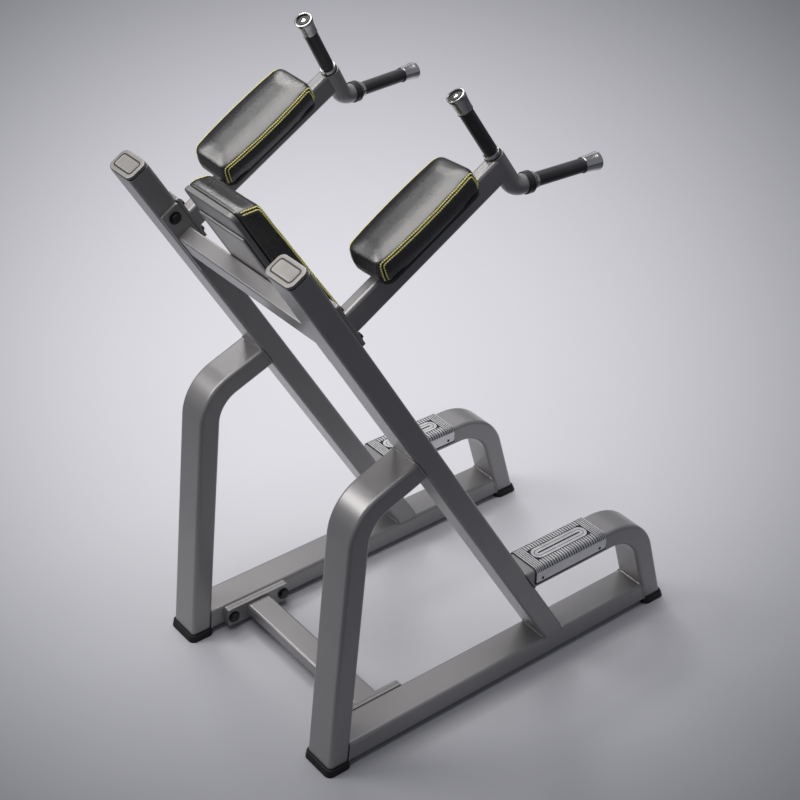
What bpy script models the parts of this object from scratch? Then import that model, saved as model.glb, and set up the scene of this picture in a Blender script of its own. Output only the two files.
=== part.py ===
"""Vertical knee raise station.

Two welded side frames of rounded rectangular tube stand on rubber feet. A lower cross tube
and an upper crossbeam bolt them together. The beam carries the back pad, and an arm bolted to
the front of each upright carries an arm pad and a two-legged handle.

Metres, +Z up. The user faces -Y, so left is +X. Forward positions are counted from the rear
feet, and the last step moves the finished station onto the middle of its own footprint.
"""

import math

import bmesh
import bpy
from mathutils import Matrix, Vector

# Fit between faces that touch
GAP = 0.0003

# Side frame tube
TUBE_WIDTH = 0.094
TUBE_DEPTH = 0.058
TUBE_CORNER = 0.014
TUBE_WALL = 0.003
CORNER_STEPS = 3
FRAME_OFFSET = 0.3075

# Base rail and the places where the tubes' centrelines meet it or the floor
RAIL_CLEARANCE = 0.0135
REAR_FOOT_AT = 0.0225
UPRIGHT_AT = 0.7182
FRONT_FOOT_AT = 1.0853

# Rear leg, bent forward at the top into the brace that meets the upright
REAR_LEAN = 6.3
REAR_CORNER_HEIGHT = 0.7163
BRACE_RISE = 20.8
REAR_BEND_RADIUS = 0.112
REAR_BEND_STEPS = 6

# Upright
UPRIGHT_LEAN = 30.28
UPRIGHT_LENGTH = 1.5034

# Step tube, bent down at the front into the front leg
STEP_HEIGHT = 0.318
FRONT_LEAN = 15.6
STEP_BEND_RADIUS = 0.130
STEP_BEND_STEPS = 7

# Rubber feet
FOOT_HEIGHT = 0.0234
FOOT_FLOOR = 0.006
FOOT_WALL = 0.0055
FOOT_FLARE = 0.0015
FOOT_EDGE = 0.002
NOTCH_RATIO = 0.75

# Step treads
TREAD_REAR_AT = 0.637
TREAD_LENGTH = 0.241
TREAD_TOP = 0.0045
TREAD_WALL = 0.003
TREAD_SKIRT = 0.043
TREAD_GROOVE_DEPTH = 0.0018
TREAD_FIN_GROOVES = 18
TREAD_FIN_LENGTH = 0.019
TREAD_EDGE_MARGIN = 0.004
TREAD_END_MARGIN = 0.005
TREAD_END_GROOVES = 3
TREAD_END_PITCH = 0.0055
TREAD_GROOVE_WIDTH = 0.0026
TREAD_TRACKS = 2
TREAD_TRACK_ROUND = 0.98

# Plug caps on the uprights
CAP_THICKNESS = 0.010
CAP_EDGE = 0.0015
CAP_BORDER = 0.007
CAP_GROOVE = 0.002
CAP_PLUG = 0.014

# Lower cross tube with its end plates, bolted to the rails
CROSS_AT = 0.191
CROSS_DEPTH = 0.0725
CROSS_HEIGHT = 0.033
CROSS_TOP = 0.061
CROSS_CORNER = 0.008
CROSS_WALL = 0.003
LOWER_PLATE_LENGTH = 0.193
LOWER_PLATE_HEIGHT = 0.054
LOWER_PLATE_THICKNESS = 0.010
LOWER_BOLT_SPACING = 0.158
LOWER_BOLT_RADIUS = 0.013

# Upper crossbeam with its end flanges, bolted to the uprights
BEAM_AT = 1.2787
BEAM_SETBACK = 0.0036
BEAM_HEIGHT = 0.062
BEAM_DEPTH = 0.040
BEAM_CORNER = 0.008
BEAM_WALL = 0.003
BEAM_FLANGE_AT = 1.2847
BEAM_FLANGE_LENGTH = 0.196
BEAM_FLANGE_WIDTH = 0.052
BEAM_FLANGE_THICKNESS = 0.008
BEAM_BOLT_SPACING = 0.144
BEAM_BOLT_RADIUS = 0.012

# Plates: corner rounding and edge break
PLATE_CORNER = 0.006
PLATE_EDGE = 0.001

# Arms, rolled so that what stands on them leans toward the middle
ARM_OFFSET = 0.3025
ARM_AT = 1.2886
ARM_ROLL = 5.5
ARM_WIDTH = 0.036
ARM_HEIGHT = 0.060
ARM_CORNER = 0.009
ARM_WALL = 0.003
ARM_FLANGE_OFFSET = 0.305
ARM_FLANGE_RISE = 0.0248
ARM_FLANGE_WIDTH = 0.084
ARM_FLANGE_HEIGHT = 0.136
ARM_FLANGE_THICKNESS = 0.008
ARM_BOLT_RADIUS = 0.008
ARM_BOLT_UPPER = 0.040
ARM_BOLT_LOWER = 0.047
ARM_BOLT_UPPER_SPREAD = 0.048
ARM_BOLT_LOWER_SPREAD = 0.060

# Handles: an elbow of round tube with one grip up and one grip forward
HANDLE_REACH = 0.5138
HANDLE_DROP = 0.0656
HANDLE_ROLL = 2.8
HANDLE_RADIUS = 0.0225
HANDLE_WALL = 0.003
HANDLE_BEND_RADIUS = 0.034
HANDLE_SIDES = 16
HANDLE_BEND_STEPS = 6
ARM_END_LAP = 0.0075
UPPER_LEG = 0.0945
FRONT_LEG = 0.048
COLLAR_AT = 0.028
COLLAR_LENGTH = 0.017
COLLAR_THICKNESS = 0.0025
RING_RADIUS = 0.0203
RING_LENGTH = 0.004
RING_PLUG = 0.012
SPINDLE_RADIUS = 0.011
GRIP_RADIUS = 0.01625
UPPER_GRIP_LENGTH = 0.129
FRONT_GRIP_LENGTH = 0.138
GRIP_BEAD = 0.002
GRIP_SIDES = 14
GRIP_CAP_LENGTH = 0.042
GRIP_CAP_NECK = 0.018
GRIP_CAP_WAIST = 0.0192
GRIP_CAP_WAIST_AT = 0.019
GRIP_CAP_RADIUS = 0.022
GRIP_CAP_FLARE_AT = 0.034
GRIP_CAP_SOCKET = 0.018
GRIP_PLUG_RADIUS = 0.0150
GRIP_PLUG_DEPTH = 0.003

# Arm pads
ARM_PAD_INWARD = 0.002
ARM_PAD_REAR = 0.1339
ARM_PAD_LENGTH = 0.304
ARM_PAD_WIDTH = 0.130
ARM_PAD_SIDE = 0.0497
ARM_PAD_CROWN = 0.012
ARM_PAD_CORNER = 0.022
ARM_PAD_BOW = 0.0075
ARM_PAD_RAKE = 0.012
ARM_BOARD_THICKNESS = 0.009
ARM_BOARD_INSET = 0.005

# Back pad, its board and the plate on the beam
BACK_PAD_BOTTOM = 1.0814
BACK_PAD_LENGTH = 0.452
BACK_PAD_WIDTH = 0.206
BACK_PAD_SIDE_BOTTOM = 0.067
BACK_PAD_SIDE_TOP = 0.047
BACK_PAD_CROWN = 0.016
BACK_PAD_CORNER = 0.020
BACK_PAD_BOW = 0.002
BACK_PAD_RAKE = 0.022
BACK_BOARD_THICKNESS = 0.012
BACK_BOARD_INSET = 0.006
SUPPORT_WIDTH = 0.176
SUPPORT_LENGTH = 0.285
SUPPORT_BOTTOM = 1.1714
SUPPORT_THICKNESS = 0.005

# Cushion form: where its rings lie, as shares of the side height or of the way to the spine
PAD_CORNER_STEPS = 6
PAD_LENGTH_STEPS = 7
SEAM_DEPTH = 0.0015
SEAM_HALF = 0.003
SIDE_DRAW = 0.003
UNDERSIDE_DRAW = 0.004
LOW_SHARE = 0.12
WIDEST_SHARE = 0.45
CROWN_SHARES = (0.88, 0.72, 0.5, 0.25)
CROWN_POWER = 2.6

# Bolt heads
HEAD_SIDES = 12
WASHER_RATIO = 1.3
WASHER_THICKNESS = 0.002
HEAD_HEIGHT_RATIO = 0.55
HEAD_TOP_RATIO = 0.7
SHANK_RATIO = 0.5
SHANK_OVERRUN = 0.004

SMOOTH_ANGLE = math.radians(35.0)
SIDES = {"left": 1.0, "right": -1.0}

# Worked out from the sizes above
RAIL_MID = RAIL_CLEARANCE + TUBE_DEPTH / 2
RAIL_TOP = RAIL_CLEARANCE + TUBE_DEPTH
STEP_MID = STEP_HEIGHT - TUBE_DEPTH / 2
REAR_SLOPE = math.tan(math.radians(REAR_LEAN))
FRONT_SLOPE = -math.tan(math.radians(FRONT_LEAN))
INNER_FACE = FRAME_OFFSET - TUBE_WIDTH / 2
UPRIGHT_FRONT = TUBE_DEPTH / 2
HANDLE_ANGLE = math.radians(90.0 + UPRIGHT_LEAN)
HANDLE_FRONT = Vector((0.0, -math.sin(HANDLE_ANGLE), math.cos(HANDLE_ANGLE)))


def clear_scene():
    """Remove every object of the start-up scene."""
    for item in list(bpy.data.objects):
        bpy.data.objects.remove(item, do_unlink=True)


def material(name, colour, roughness, metallic):
    """Make a plain Principled material."""
    made = bpy.data.materials.new(name)
    made.use_nodes = True
    shader = made.node_tree.nodes["Principled BSDF"]
    shader.inputs["Base Color"].default_value = (*colour, 1.0)
    shader.inputs["Roughness"].default_value = roughness
    shader.inputs["Metallic"].default_value = metallic
    made.diffuse_color = (*colour, 1.0)
    return made


def frame_paint():
    """Satin metallic grey paint of the welded frame."""
    return material("frame_paint", (0.20, 0.20, 0.21), 0.38, 0.6)


def foot_rubber():
    """Black rubber of the feet."""
    return material("foot_rubber", (0.015, 0.015, 0.017), 0.75, 0.0)


def grip_rubber():
    """Black rubber of the grips."""
    return material("grip_rubber", (0.018, 0.018, 0.018), 0.6, 0.0)


def bare_aluminium():
    """Bare aluminium of the treads."""
    return material("bare_aluminium", (0.72, 0.72, 0.74), 0.35, 1.0)


def bright_metal():
    """Bright metal of the handle rings and grip caps."""
    return material("bright_metal", (0.78, 0.78, 0.80), 0.18, 1.0)


def silver_cap():
    """Silver finish of the caps on the uprights."""
    return material("silver_cap", (0.62, 0.60, 0.57), 0.4, 0.5)


def black_leather():
    """Black upholstery leather."""
    return material("black_leather", (0.020, 0.019, 0.019), 0.5, 0.0)


def black_board():
    """Black painted board behind the cushions."""
    return material("black_board", (0.03, 0.03, 0.03), 0.6, 0.0)


def black_steel():
    """Black finish of the bolts and screws."""
    return material("black_steel", (0.03, 0.03, 0.032), 0.4, 0.8)


def black_plastic():
    """Black plastic of the collars and grip plugs."""
    return material("black_plastic", (0.02, 0.02, 0.02), 0.45, 0.0)


def side_point(forward, height):
    """Return the point of a side plane that lies this far forward and this high."""
    return Vector((0.0, -forward, height))


def rounded_outline(width, depth, corner, steps=CORNER_STEPS):
    """Return points round a rectangle with round corners, in the XY plane."""
    points = []
    for quarter, (right, up) in enumerate(((1, 1), (-1, 1), (-1, -1), (1, -1))):
        centre = Vector((right * (width / 2 - corner), up * (depth / 2 - corner), 0.0))
        for step in range(steps + 1):
            angle = math.radians(90.0 * (quarter + step / steps))
            points.append(centre + corner * Vector((math.cos(angle), math.sin(angle), 0.0)))
    return points


def round_outline(radius, sides):
    """Return points round a circle in the XY plane."""
    turns = [2 * math.pi * side / sides for side in range(sides)]
    return [Vector((radius * math.cos(turn), radius * math.sin(turn), 0.0)) for turn in turns]


def ring_faces(bm, outer, inner):
    """Draw the flat ring of faces between two outlines with as many points each."""
    outer_verts = [bm.verts.new(point) for point in outer]
    inner_verts = [bm.verts.new(point) for point in inner]
    faces = []
    for here in range(len(outer)):
        after = (here + 1) % len(outer)
        corners = (outer_verts[here], outer_verts[after], inner_verts[after], inner_verts[here])
        faces.append(bm.faces.new(corners))
    return faces


def outline_face(bm, outline):
    """Draw one flat face inside an outline."""
    return bm.faces.new([bm.verts.new(point) for point in outline])


def with_edges(faces):
    """Return faces together with their edges, so that an extrusion leaves no inner faces."""
    return faces + list({edge for face in faces for edge in face.edges})


def extrude(bm, faces, shift):
    """Extrude faces by a shift and return the moved faces."""
    made = bmesh.ops.extrude_face_region(bm, geom=with_edges(faces))["geom"]
    moved = [item for item in made if isinstance(item, bmesh.types.BMFace)]
    verts = {vert for face in moved for vert in face.verts}
    bmesh.ops.translate(bm, verts=list(verts), vec=shift)
    return moved


def bend(bm, faces, centre, angle, steps):
    """Sweep faces round the X direction through a centre and return the last ones."""
    made = bmesh.ops.spin(
        bm, geom=with_edges(faces), cent=centre, axis=(1.0, 0.0, 0.0), dvec=(0.0, 0.0, 0.0),
        angle=angle, steps=steps, use_merge=False, use_duplicate=False,
    )["geom_last"]
    return [item for item in made if isinstance(item, bmesh.types.BMFace)]


def sweep(bm, faces, corners, radii, steps):
    """Sweep section faces along a centreline in the YZ plane, given by its corners.

    The faces start flat at the origin, square to +Z. Each corner between the ends has a bend
    radius, and the faces follow straight runs and round bends.
    """
    heading = (corners[1] - corners[0]).normalized()
    verts = list({vert for face in faces for vert in face.verts})
    turn = Vector((0.0, 0.0, 1.0)).rotation_difference(heading).to_matrix()
    bmesh.ops.rotate(bm, verts=verts, cent=(0.0, 0.0, 0.0), matrix=turn)
    bmesh.ops.translate(bm, verts=verts, vec=corners[0])
    spot = corners[0].copy()
    for index in range(1, len(corners)):
        last = index == len(corners) - 1
        following = heading if last else (corners[index + 1] - corners[index]).normalized()
        cross = heading.cross(following).x
        angle = math.copysign(heading.angle(following), cross)
        radius = 0.0 if last else radii[index - 1]
        tangent = radius * math.tan(abs(angle) / 2)
        run = (corners[index] - spot).length - tangent
        faces = extrude(bm, faces, heading * run)
        spot = spot + heading * run
        if last:
            break
        side = Vector((1.0, 0.0, 0.0)).cross(heading) * math.copysign(1.0, angle)
        faces = bend(bm, faces, spot + side * radius, angle, steps)
        spot = corners[index] + following * tangent
        heading = following
    return faces


def trim(bm, point, normal):
    """Cut everything on the normal's side of a plane off a hollow tube and close the ring."""
    geom = bm.verts[:] + bm.edges[:] + bm.faces[:]
    bmesh.ops.bisect_plane(
        bm, geom=geom, dist=1e-6, plane_co=point, plane_no=normal, clear_outer=True
    )
    rim = [edge for edge in bm.edges if len(edge.link_faces) == 1]
    bmesh.ops.bridge_loops(bm, edges=rim)


def loft(bm, rings):
    """Skin a stack of outlines with as many points each, and close both ends."""
    loops = [[bm.verts.new(point) for point in ring] for ring in rings]
    for lower, upper in zip(loops, loops[1:]):
        for here in range(len(lower)):
            after = (here + 1) % len(lower)
            bm.faces.new((lower[here], lower[after], upper[after], upper[here]))
    bm.faces.new(list(reversed(loops[0])))
    bm.faces.new(loops[-1])


def lathe(bm, profile, sides):
    """Turn a profile of (radius, height) points round the Z axis."""
    verts = [bm.verts.new((radius, 0.0, height)) for radius, height in profile]
    edges = [bm.edges.new(pair) for pair in zip(verts, verts[1:])]
    bmesh.ops.spin(
        bm, geom=verts + edges, cent=(0.0, 0.0, 0.0), axis=(0.0, 0.0, 1.0),
        dvec=(0.0, 0.0, 0.0), angle=2 * math.pi, steps=sides, use_merge=True,
        use_duplicate=False,
    )
    bmesh.ops.remove_doubles(bm, verts=bm.verts[:], dist=1e-6)


def ring_lathe(bm, profile, sides):
    """Turn a closed profile that stays off the axis, as for a sleeve, round the Z axis."""
    lathe(bm, profile + profile[:1], sides)


def to_mesh(bm, name, surface, smooth=True):
    """Turn a finished bmesh into mesh data with its material."""
    bmesh.ops.recalc_face_normals(bm, faces=bm.faces[:])
    mesh = bpy.data.meshes.new(name)
    bm.to_mesh(mesh)
    bm.free()
    mesh.materials.append(surface)
    if smooth:
        mesh.shade_smooth()
        mesh.set_sharp_from_angle(angle=SMOOTH_ANGLE)
    return mesh


def place(mesh, name, location=(0.0, 0.0, 0.0), rotation=(0.0, 0.0, 0.0), parent=None):
    """Put mesh data into the scene as a named object."""
    item = bpy.data.objects.new(name, mesh)
    bpy.context.scene.collection.objects.link(item)
    item.location = location
    item.rotation_euler = rotation
    item.parent = parent
    return item


def place_empty(name, location=(0.0, 0.0, 0.0), rotation=(0.0, 0.0, 0.0), parent=None):
    """Put an empty into the scene as a frame for other pieces."""
    return place(None, name, location, rotation, parent)


def combine(item, helper, operation):
    """Combine an object with a hidden helper object."""
    helper.hide_render = True
    helper.display_type = "WIRE"
    change = item.modifiers.new(operation.lower(), "BOOLEAN")
    change.operation = operation
    change.solver = "EXACT"
    change.object = helper


def cut_by(item, cutter):
    """Cut a hidden cutter out of an object."""
    combine(item, cutter, "DIFFERENCE")


def box(bm, centre, size):
    """Add a closed box."""
    matrix = Matrix.Translation(centre) @ Matrix.Diagonal((*size, 1.0))
    bmesh.ops.create_cube(bm, size=1.0, matrix=matrix)


def tube_section(bm, width, depth, corner, wall):
    """Draw the section of a rounded rectangular tube."""
    outer = rounded_outline(width, depth, corner)
    inner = rounded_outline(width - 2 * wall, depth - 2 * wall, corner - wall)
    return ring_faces(bm, outer, inner)


def frame_section(bm):
    """Draw the section of the side frame tube."""
    return tube_section(bm, TUBE_WIDTH, TUBE_DEPTH, TUBE_CORNER, TUBE_WALL)


def upright_direction():
    """Return the direction in which the upright rises, in station axes."""
    lean = math.radians(UPRIGHT_LEAN)
    return side_point(-math.sin(lean), math.cos(lean))


def upright_forward():
    """Return the direction square to the upright's front face, in station axes."""
    lean = math.radians(UPRIGHT_LEAN)
    return side_point(math.cos(lean), math.sin(lean))


def upright_foot():
    """Return the point where the upright's centreline meets the top of the rail."""
    return side_point(UPRIGHT_AT, RAIL_TOP)


def leg_line(foot_at, slope, height):
    """Return the point of a leaning leg's centreline at a height."""
    return side_point(foot_at + slope * height, height)


def leg_face(foot_at, slope, side):
    """Return a point on a leaning leg's front (+1) or rear (-1) face, and its normal."""
    lean = math.atan(slope)
    normal = side_point(math.cos(lean), -math.sin(lean)) * side
    return side_point(foot_at, 0.0) + normal * (TUBE_DEPTH / 2), normal


def rear_leg_mesh(surface):
    """Rear leg and brace, cut level in the foot and flush with the upright's rear face."""
    foot = leg_line(REAR_FOOT_AT, REAR_SLOPE, 0.0)
    corner = leg_line(REAR_FOOT_AT, REAR_SLOPE, REAR_CORNER_HEIGHT)
    rise = math.radians(BRACE_RISE)
    brace = side_point(math.cos(rise), math.sin(rise))
    face = upright_foot() - upright_forward() * (TUBE_DEPTH / 2 + GAP)
    reach = (face - corner).dot(upright_forward()) / brace.dot(upright_forward())
    below = foot + (foot - corner).normalized() * TUBE_DEPTH
    beyond = corner + brace * (reach + TUBE_DEPTH)
    bm = bmesh.new()
    sweep(bm, frame_section(bm), [below, corner, beyond], [REAR_BEND_RADIUS], REAR_BEND_STEPS)
    trim(bm, side_point(0.0, FOOT_FLOOR + GAP), side_point(0.0, -1.0))
    trim(bm, face, upright_forward())
    return to_mesh(bm, "rear_leg", surface)


def base_rail_mesh(surface):
    """Base rail, cut to the lean of the rear and front legs."""
    rear_point, rear_normal = leg_face(REAR_FOOT_AT, REAR_SLOPE, 1.0)
    front_point, front_normal = leg_face(FRONT_FOOT_AT, FRONT_SLOPE, -1.0)
    start = side_point(REAR_FOOT_AT, RAIL_MID)
    end = side_point(FRONT_FOOT_AT, RAIL_MID)
    bm = bmesh.new()
    sweep(bm, frame_section(bm), [start, end], [], 0)
    trim(bm, rear_point + rear_normal * GAP, -rear_normal)
    trim(bm, front_point + front_normal * GAP, -front_normal)
    return to_mesh(bm, "base_rail", surface)


def upright_mesh(surface):
    """Upright, cut level on the rail's top face and square at its upper end."""
    foot = upright_foot()
    start = foot - upright_direction() * TUBE_DEPTH
    end = foot + upright_direction() * UPRIGHT_LENGTH
    bm = bmesh.new()
    sweep(bm, frame_section(bm), [start, end], [], 0)
    trim(bm, foot + side_point(0.0, GAP), side_point(0.0, -1.0))
    return to_mesh(bm, "upright", surface)


def step_tube_mesh(surface):
    """Step tube and front leg, cut to the upright's front face and level in the foot."""
    corner = leg_line(FRONT_FOOT_AT, FRONT_SLOPE, STEP_MID)
    below = leg_line(FRONT_FOOT_AT, FRONT_SLOPE, -TUBE_DEPTH)
    face = upright_foot() + upright_forward() * (TUBE_DEPTH / 2 + GAP)
    lean = math.radians(UPRIGHT_LEAN)
    start_at = -face.y - (STEP_MID - face.z) * math.tan(lean) - TUBE_DEPTH
    start = side_point(start_at, STEP_MID)
    bm = bmesh.new()
    sweep(bm, frame_section(bm), [start, corner, below], [STEP_BEND_RADIUS], STEP_BEND_STEPS)
    trim(bm, face, -upright_forward())
    trim(bm, side_point(0.0, FOOT_FLOOR + GAP), side_point(0.0, -1.0))
    return to_mesh(bm, "step_tube", surface)


def foot_mesh(name, slope, surface):
    """Rubber boot round the end of a leaning leg, with a floor under the tube."""
    stretch = math.sqrt(1.0 + slope * slope)

    def ring(height, out):
        width = TUBE_WIDTH + 2 * out
        depth = TUBE_DEPTH * stretch + 2 * out
        shift = side_point(slope * height, height)
        return [point + shift for point in rounded_outline(width, depth, TUBE_CORNER + out)]

    rings = [
        ring(0.0, FOOT_WALL + FOOT_FLARE),
        ring(FOOT_EDGE, FOOT_WALL + FOOT_FLARE),
        ring(FOOT_HEIGHT - FOOT_EDGE, FOOT_WALL),
        ring(FOOT_HEIGHT, FOOT_WALL - FOOT_EDGE),
        ring(FOOT_HEIGHT, GAP),
        ring(FOOT_FLOOR, GAP),
    ]
    bm = bmesh.new()
    loft(bm, rings)
    return to_mesh(bm, name, surface)


def foot_notch_mesh(name, side):
    """Cutter that opens a foot's rim for the end of the base rail."""
    bm = bmesh.new()
    low = RAIL_CLEARANCE - GAP
    high = FOOT_HEIGHT + FOOT_EDGE
    centre = side_point(side * TUBE_DEPTH * NOTCH_RATIO, (low + high) / 2)
    box(bm, centre, (TUBE_WIDTH + 2 * GAP, TUBE_DEPTH, high - low))
    return helper_mesh(bm, name)


def tread_outline():
    """Return the tread's section, an arch over the step tube, in the XZ plane."""
    points = []
    skins = (
        (TUBE_WIDTH / 2 + GAP + TREAD_WALL, GAP + TREAD_TOP, TUBE_CORNER + GAP + TREAD_WALL),
        (TUBE_WIDTH / 2 + GAP, GAP, TUBE_CORNER + GAP),
    )
    for index, (half, top, corner) in enumerate(skins):
        skin = [Vector((half, 0.0, -TREAD_SKIRT))]
        for side in (1.0, -1.0):
            arc = []
            for step in range(CORNER_STEPS + 1):
                angle = math.radians(90.0 * step / CORNER_STEPS)
                across = side * (half - corner + corner * math.cos(angle))
                arc.append(Vector((across, 0.0, top - corner + corner * math.sin(angle))))
            skin += arc if side > 0 else arc[::-1]
        skin.append(Vector((-half, 0.0, -TREAD_SKIRT)))
        points += skin if index == 0 else skin[::-1]
    return points


def tread_mesh(surface):
    """Bare tread before its grooves, from its rear end forward along -Y."""
    bm = bmesh.new()
    extrude(bm, [outline_face(bm, tread_outline())], side_point(TREAD_LENGTH, 0.0))
    return to_mesh(bm, "tread", surface)


def tread_grooves_mesh():
    """Cutter for the grooves in the tread's flat top."""
    bm = bmesh.new()
    flat = TUBE_WIDTH / 2 - TUBE_CORNER
    top = GAP + TREAD_TOP
    depth = 2 * TREAD_GROOVE_DEPTH
    end_zone = TREAD_END_MARGIN + TREAD_END_GROOVES * TREAD_END_PITCH
    for index in range(TREAD_END_GROOVES):
        inset = TREAD_END_MARGIN + index * TREAD_END_PITCH
        for at in (inset, TREAD_LENGTH - inset):
            box(bm, side_point(at, top), (2 * flat, TREAD_GROOVE_WIDTH, depth))
    pitch = (TREAD_LENGTH - 2 * end_zone) / TREAD_FIN_GROOVES
    across = flat - TREAD_FIN_LENGTH / 2
    for index in range(TREAD_FIN_GROOVES):
        at = end_zone + pitch * (index + 0.5)
        for side in SIDES.values():
            centre = side_point(at, top) + Vector((side * across, 0.0, 0.0))
            box(bm, centre, (TREAD_FIN_LENGTH, pitch / 2, depth))
    middle = flat - TREAD_FIN_LENGTH - TREAD_EDGE_MARGIN / 2
    for index in range(TREAD_TRACKS):
        half = middle * (index + 1) / TREAD_TRACKS
        length = TREAD_LENGTH - 2 * end_zone - 2 * (middle - half)
        shift = side_point(TREAD_LENGTH / 2, top - depth / 2)
        inner_half = half - TREAD_GROOVE_WIDTH
        outer = rounded_outline(2 * half, length, half * TREAD_TRACK_ROUND)
        inner_length = length - 2 * TREAD_GROOVE_WIDTH
        inner = rounded_outline(2 * inner_half, inner_length, inner_half * TREAD_TRACK_ROUND)
        faces = ring_faces(bm, [p + shift for p in outer], [p + shift for p in inner])
        extrude(bm, faces, Vector((0.0, 0.0, depth)))
    return helper_mesh(bm, "tread_grooves")


def upright_cap_mesh(surface):
    """Plug cap: a plate with a grooved border, on a plug that fits the tube's bore."""
    bm = bmesh.new()
    base = outline_face(bm, rounded_outline(TUBE_WIDTH, TUBE_DEPTH, TUBE_CORNER))
    top = extrude(bm, [base], Vector((0.0, 0.0, CAP_THICKNESS - CAP_EDGE)))
    bmesh.ops.recalc_face_normals(bm, faces=bm.faces[:])
    steps = (
        (CAP_EDGE, CAP_EDGE),
        (CAP_BORDER, 0.0),
        (CAP_EDGE, -CAP_GROOVE),
        (CAP_GROOVE, 0.0),
        (CAP_EDGE, CAP_GROOVE),
    )
    for thickness, depth in steps:
        bmesh.ops.inset_region(
            bm, faces=top, thickness=thickness, depth=depth, use_even_offset=True
        )
    bmesh.ops.inset_region(bm, faces=[base], thickness=TUBE_WALL + GAP, use_even_offset=True)
    extrude(bm, [base], Vector((0.0, 0.0, -CAP_PLUG)))
    return to_mesh(bm, "upright_cap", surface)


def plate_mesh(name, width, height, thickness, surface):
    """Flat plate with round corners and broken edges, centred, with its back on z = 0."""
    steps = (
        (PLATE_EDGE, 0.0),
        (0.0, PLATE_EDGE),
        (0.0, thickness - PLATE_EDGE),
        (PLATE_EDGE, thickness),
    )
    rings = []
    for inset, level in steps:
        corner = PLATE_CORNER - inset
        outline = rounded_outline(width - 2 * inset, height - 2 * inset, corner)
        rings.append([point + Vector((0.0, 0.0, level)) for point in outline])
    bm = bmesh.new()
    loft(bm, rings)
    return to_mesh(bm, name, surface)


def straight_tube_mesh(name, length, width, depth, corner, wall, surface):
    """Straight hollow tube with square ends, centred on the origin, along Z."""
    bm = bmesh.new()
    ends = [Vector((0.0, 0.0, -length / 2)), Vector((0.0, 0.0, length / 2))]
    sweep(bm, tube_section(bm, width, depth, corner, wall), ends, [], 0)
    return to_mesh(bm, name, surface)


def bolt_profile(radius, shank_length):
    """Return the turned profile of a bolt with a washer, a domed head and a shank.

    The washer's seat is at z = 0 and the shank runs down from it.
    """
    washer = radius * WASHER_RATIO
    shank = radius * SHANK_RATIO
    shoulder = WASHER_THICKNESS + radius * HEAD_HEIGHT_RATIO / 2
    height = WASHER_THICKNESS + radius * HEAD_HEIGHT_RATIO
    return [
        (0.0, -shank_length),
        (shank, -shank_length),
        (shank, 0.0),
        (washer, 0.0),
        (washer, WASHER_THICKNESS),
        (radius, WASHER_THICKNESS),
        (radius, shoulder),
        (radius * HEAD_TOP_RATIO, height),
        (0.0, height),
    ]


def bolt_mesh(name, radius, shank_length, surface):
    """Bolt with its washer, standing on z = 0."""
    bm = bmesh.new()
    lathe(bm, bolt_profile(radius, shank_length), HEAD_SIDES)
    return to_mesh(bm, name, surface)


def place_bolts(mesh, name, seats, parent=None):
    """Put one bolt on each seat, given as a name, a point and the way its head faces."""
    for label, point, direction in seats:
        turn = Vector((0.0, 0.0, 1.0)).rotation_difference(direction).to_euler()
        place(mesh, f"{name}_{label}", point + direction * GAP, turn, parent)


def rods_mesh(name, radius, reach, seats):
    """Round rods through the seats as one helper mesh, reaching as far to both sides."""
    bm = bmesh.new()
    for _, point, direction in seats:
        turn = Vector((0.0, 0.0, 1.0)).rotation_difference(direction).to_matrix().to_4x4()
        bmesh.ops.create_cone(
            bm, cap_ends=True, segments=HEAD_SIDES, radius1=radius, radius2=radius,
            depth=2 * reach, matrix=Matrix.Translation(point) @ turn,
        )
    return helper_mesh(bm, name)


def drill(item, radius, reach, seats, parent=None):
    """Drill an object through the bolt seats, a hole's gap wider than the bolts' shanks."""
    name = f"{item.name}_drill"
    shank = radius * SHANK_RATIO
    cut_by(item, place(rods_mesh(name, shank + GAP, reach, seats), name, parent=parent))


def helper_mesh(bm, name):
    """Turn a bmesh into the mesh data of a hidden cutter."""
    bmesh.ops.recalc_face_normals(bm, faces=bm.faces[:])
    mesh = bpy.data.meshes.new(name)
    bm.to_mesh(mesh)
    bm.free()
    return mesh


def pad_outline(width, length, corner, bow):
    """Return a rounded rectangle whose long sides swell outward by the bow at mid-length."""
    points = rounded_outline(width, length, corner, PAD_CORNER_STEPS)
    outline = []
    for here, point in enumerate(points):
        after = points[(here + 1) % len(points)]
        outline.append(point)
        parts = max(1, round((after - point).length * PAD_LENGTH_STEPS / length))
        outline += [point.lerp(after, part / parts) for part in range(1, parts)]
    for point in outline:
        swell = math.cos(math.pi * point.y / length)
        point.x += bow * swell * point.x / (width / 2)
    return outline


def inset_outline(outline, width, length, inset):
    """Move an outline's points inward by about the inset on every side."""
    across = 1.0 - 2 * inset / width
    along = 1.0 - 2 * inset / length
    return [Vector((point.x * across, point.y * along, 0.0)) for point in outline]


def toward_spine(outline, width, length, share):
    """Shrink an outline toward the pad's spine, the middle line short of its round ends."""
    reach = max(0.0, (length - width) / 2)
    shrunk = []
    for point in outline:
        spine = Vector((0.0, max(-reach, min(reach, point.y)), 0.0))
        shrunk.append(spine.lerp(point, share))
    return shrunk


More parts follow.
